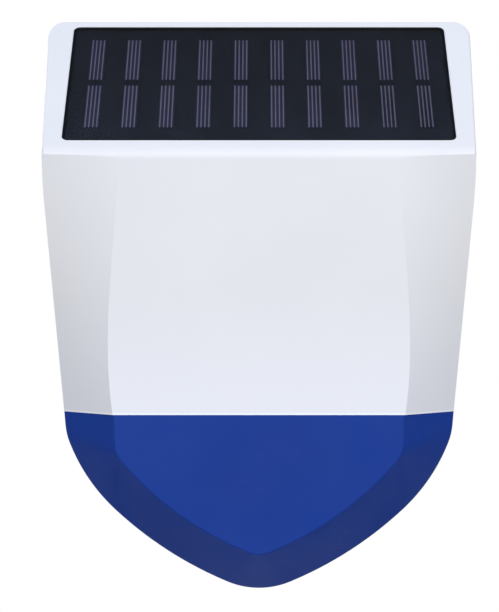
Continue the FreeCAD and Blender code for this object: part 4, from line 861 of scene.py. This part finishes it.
def area_light(name, place, target, size, power, colour="#FFFFFF", in_gloss=True):
    """A flat lamp that the camera doesn't see; without gloss it makes no highlight."""
    data = bpy.data.lights.new(name, "AREA")
    data.shape = "RECTANGLE"
    data.size, data.size_y = size
    data.energy = power
    data.color = linear(colour)[:3]
    light = bpy.data.objects.new(name, data)
    bpy.context.scene.collection.objects.link(light)
    light.location = place
    light.rotation_euler = (Vector(target) - Vector(place)).to_track_quat("-Z", "Y").to_euler()
    light.visible_glossy = in_gloss
    light.visible_camera = False


def add_world():
    """White behind the object, a soft even fill round it, and reflections dim in front."""
    world = bpy.data.worlds.new("studio")
    bpy.context.scene.world = world
    world.use_nodes = True
    tree = world.node_tree
    tree.nodes.clear()
    path = add_node(tree, "ShaderNodeLightPath")
    seen = add_node(tree, "ShaderNodeBackground", {"Color": linear("#FFFFFF"), "Strength": 1.0})
    fill = add_node(tree, "ShaderNodeBackground", {"Color": linear("#FCFCFF"), "Strength": 0.5})
    direction = add_node(tree, "ShaderNodeTexCoord")
    axes = add_node(tree, "ShaderNodeSeparateXYZ", {0: direction.outputs["Generated"]})
    behind = add_node(tree, "ShaderNodeMapRange", {
        "Value": axes.outputs["Y"], "From Min": 0.5, "From Max": 0.75, "To Min": 0.05,
        "To Max": 0.75})
    gloss = add_node(tree, "ShaderNodeBackground", {
        "Color": linear("#F4F7FF"), "Strength": behind.outputs[0]})
    soft = add_node(tree, "ShaderNodeMixShader", {
        0: path.outputs["Is Glossy Ray"], 1: fill.outputs[0], 2: gloss.outputs[0]})
    mix = add_node(tree, "ShaderNodeMixShader", {
        0: path.outputs["Is Camera Ray"], 1: soft.outputs[0], 2: seen.outputs[0]})
    add_node(tree, "ShaderNodeOutputWorld", {"Surface": mix.outputs[0]})
    world.cycles.sampling_method = "NONE"
    bpy.context.scene.view_settings.view_transform = "Standard"


def add_floor():
    """A round pale table top well below the siren."""
    bm = bmesh.new()
    bmesh.ops.create_circle(bm, cap_ends=True, radius=FLOOR_R, segments=96)
    bmesh.ops.translate(bm, vec=(0, 0, FLOOR_Z), verts=bm.verts)
    data = bpy.data.meshes.new("floor")
    bm.to_mesh(data)
    bm.free()
    data.materials.append(plain_finish("pale_grey_laminate", ("#E9E9E7", "#E4E4E2"), 60.0, 1.0,
                                       0.01, (0.5, 0.6)))
    floor = bpy.data.objects.new("floor", data)
    bpy.context.scene.collection.objects.link(floor)
    floor.visible_glossy = False
    floor.visible_diffuse = False


add_world()
add_floor()
area_light("key", place=(0.12, -1.2, 1.0), target=MIDDLE, size=(0.9, 0.7), power=5.6)
area_light("edge", place=(0.0, -1.15, 1.0), target=(0.0, -0.07, 0.05), size=(1.6, 0.14), power=2.6)
area_light("front", place=(0.1, -1.6, 0.15), target=MIDDLE, size=(1.4, 1.4), power=8.2,
           in_gloss=False)
area_light("top", place=(0.0, -0.3, 1.1), target=MIDDLE, size=(1.0, 0.6), power=2.7,
           colour="#A8C6FF", in_gloss=False)
area_light("back", place=(-0.9, 1.3, 0.8), target=(0.0, -0.02, 0.0), size=(1.0, 0.8), power=9.0)
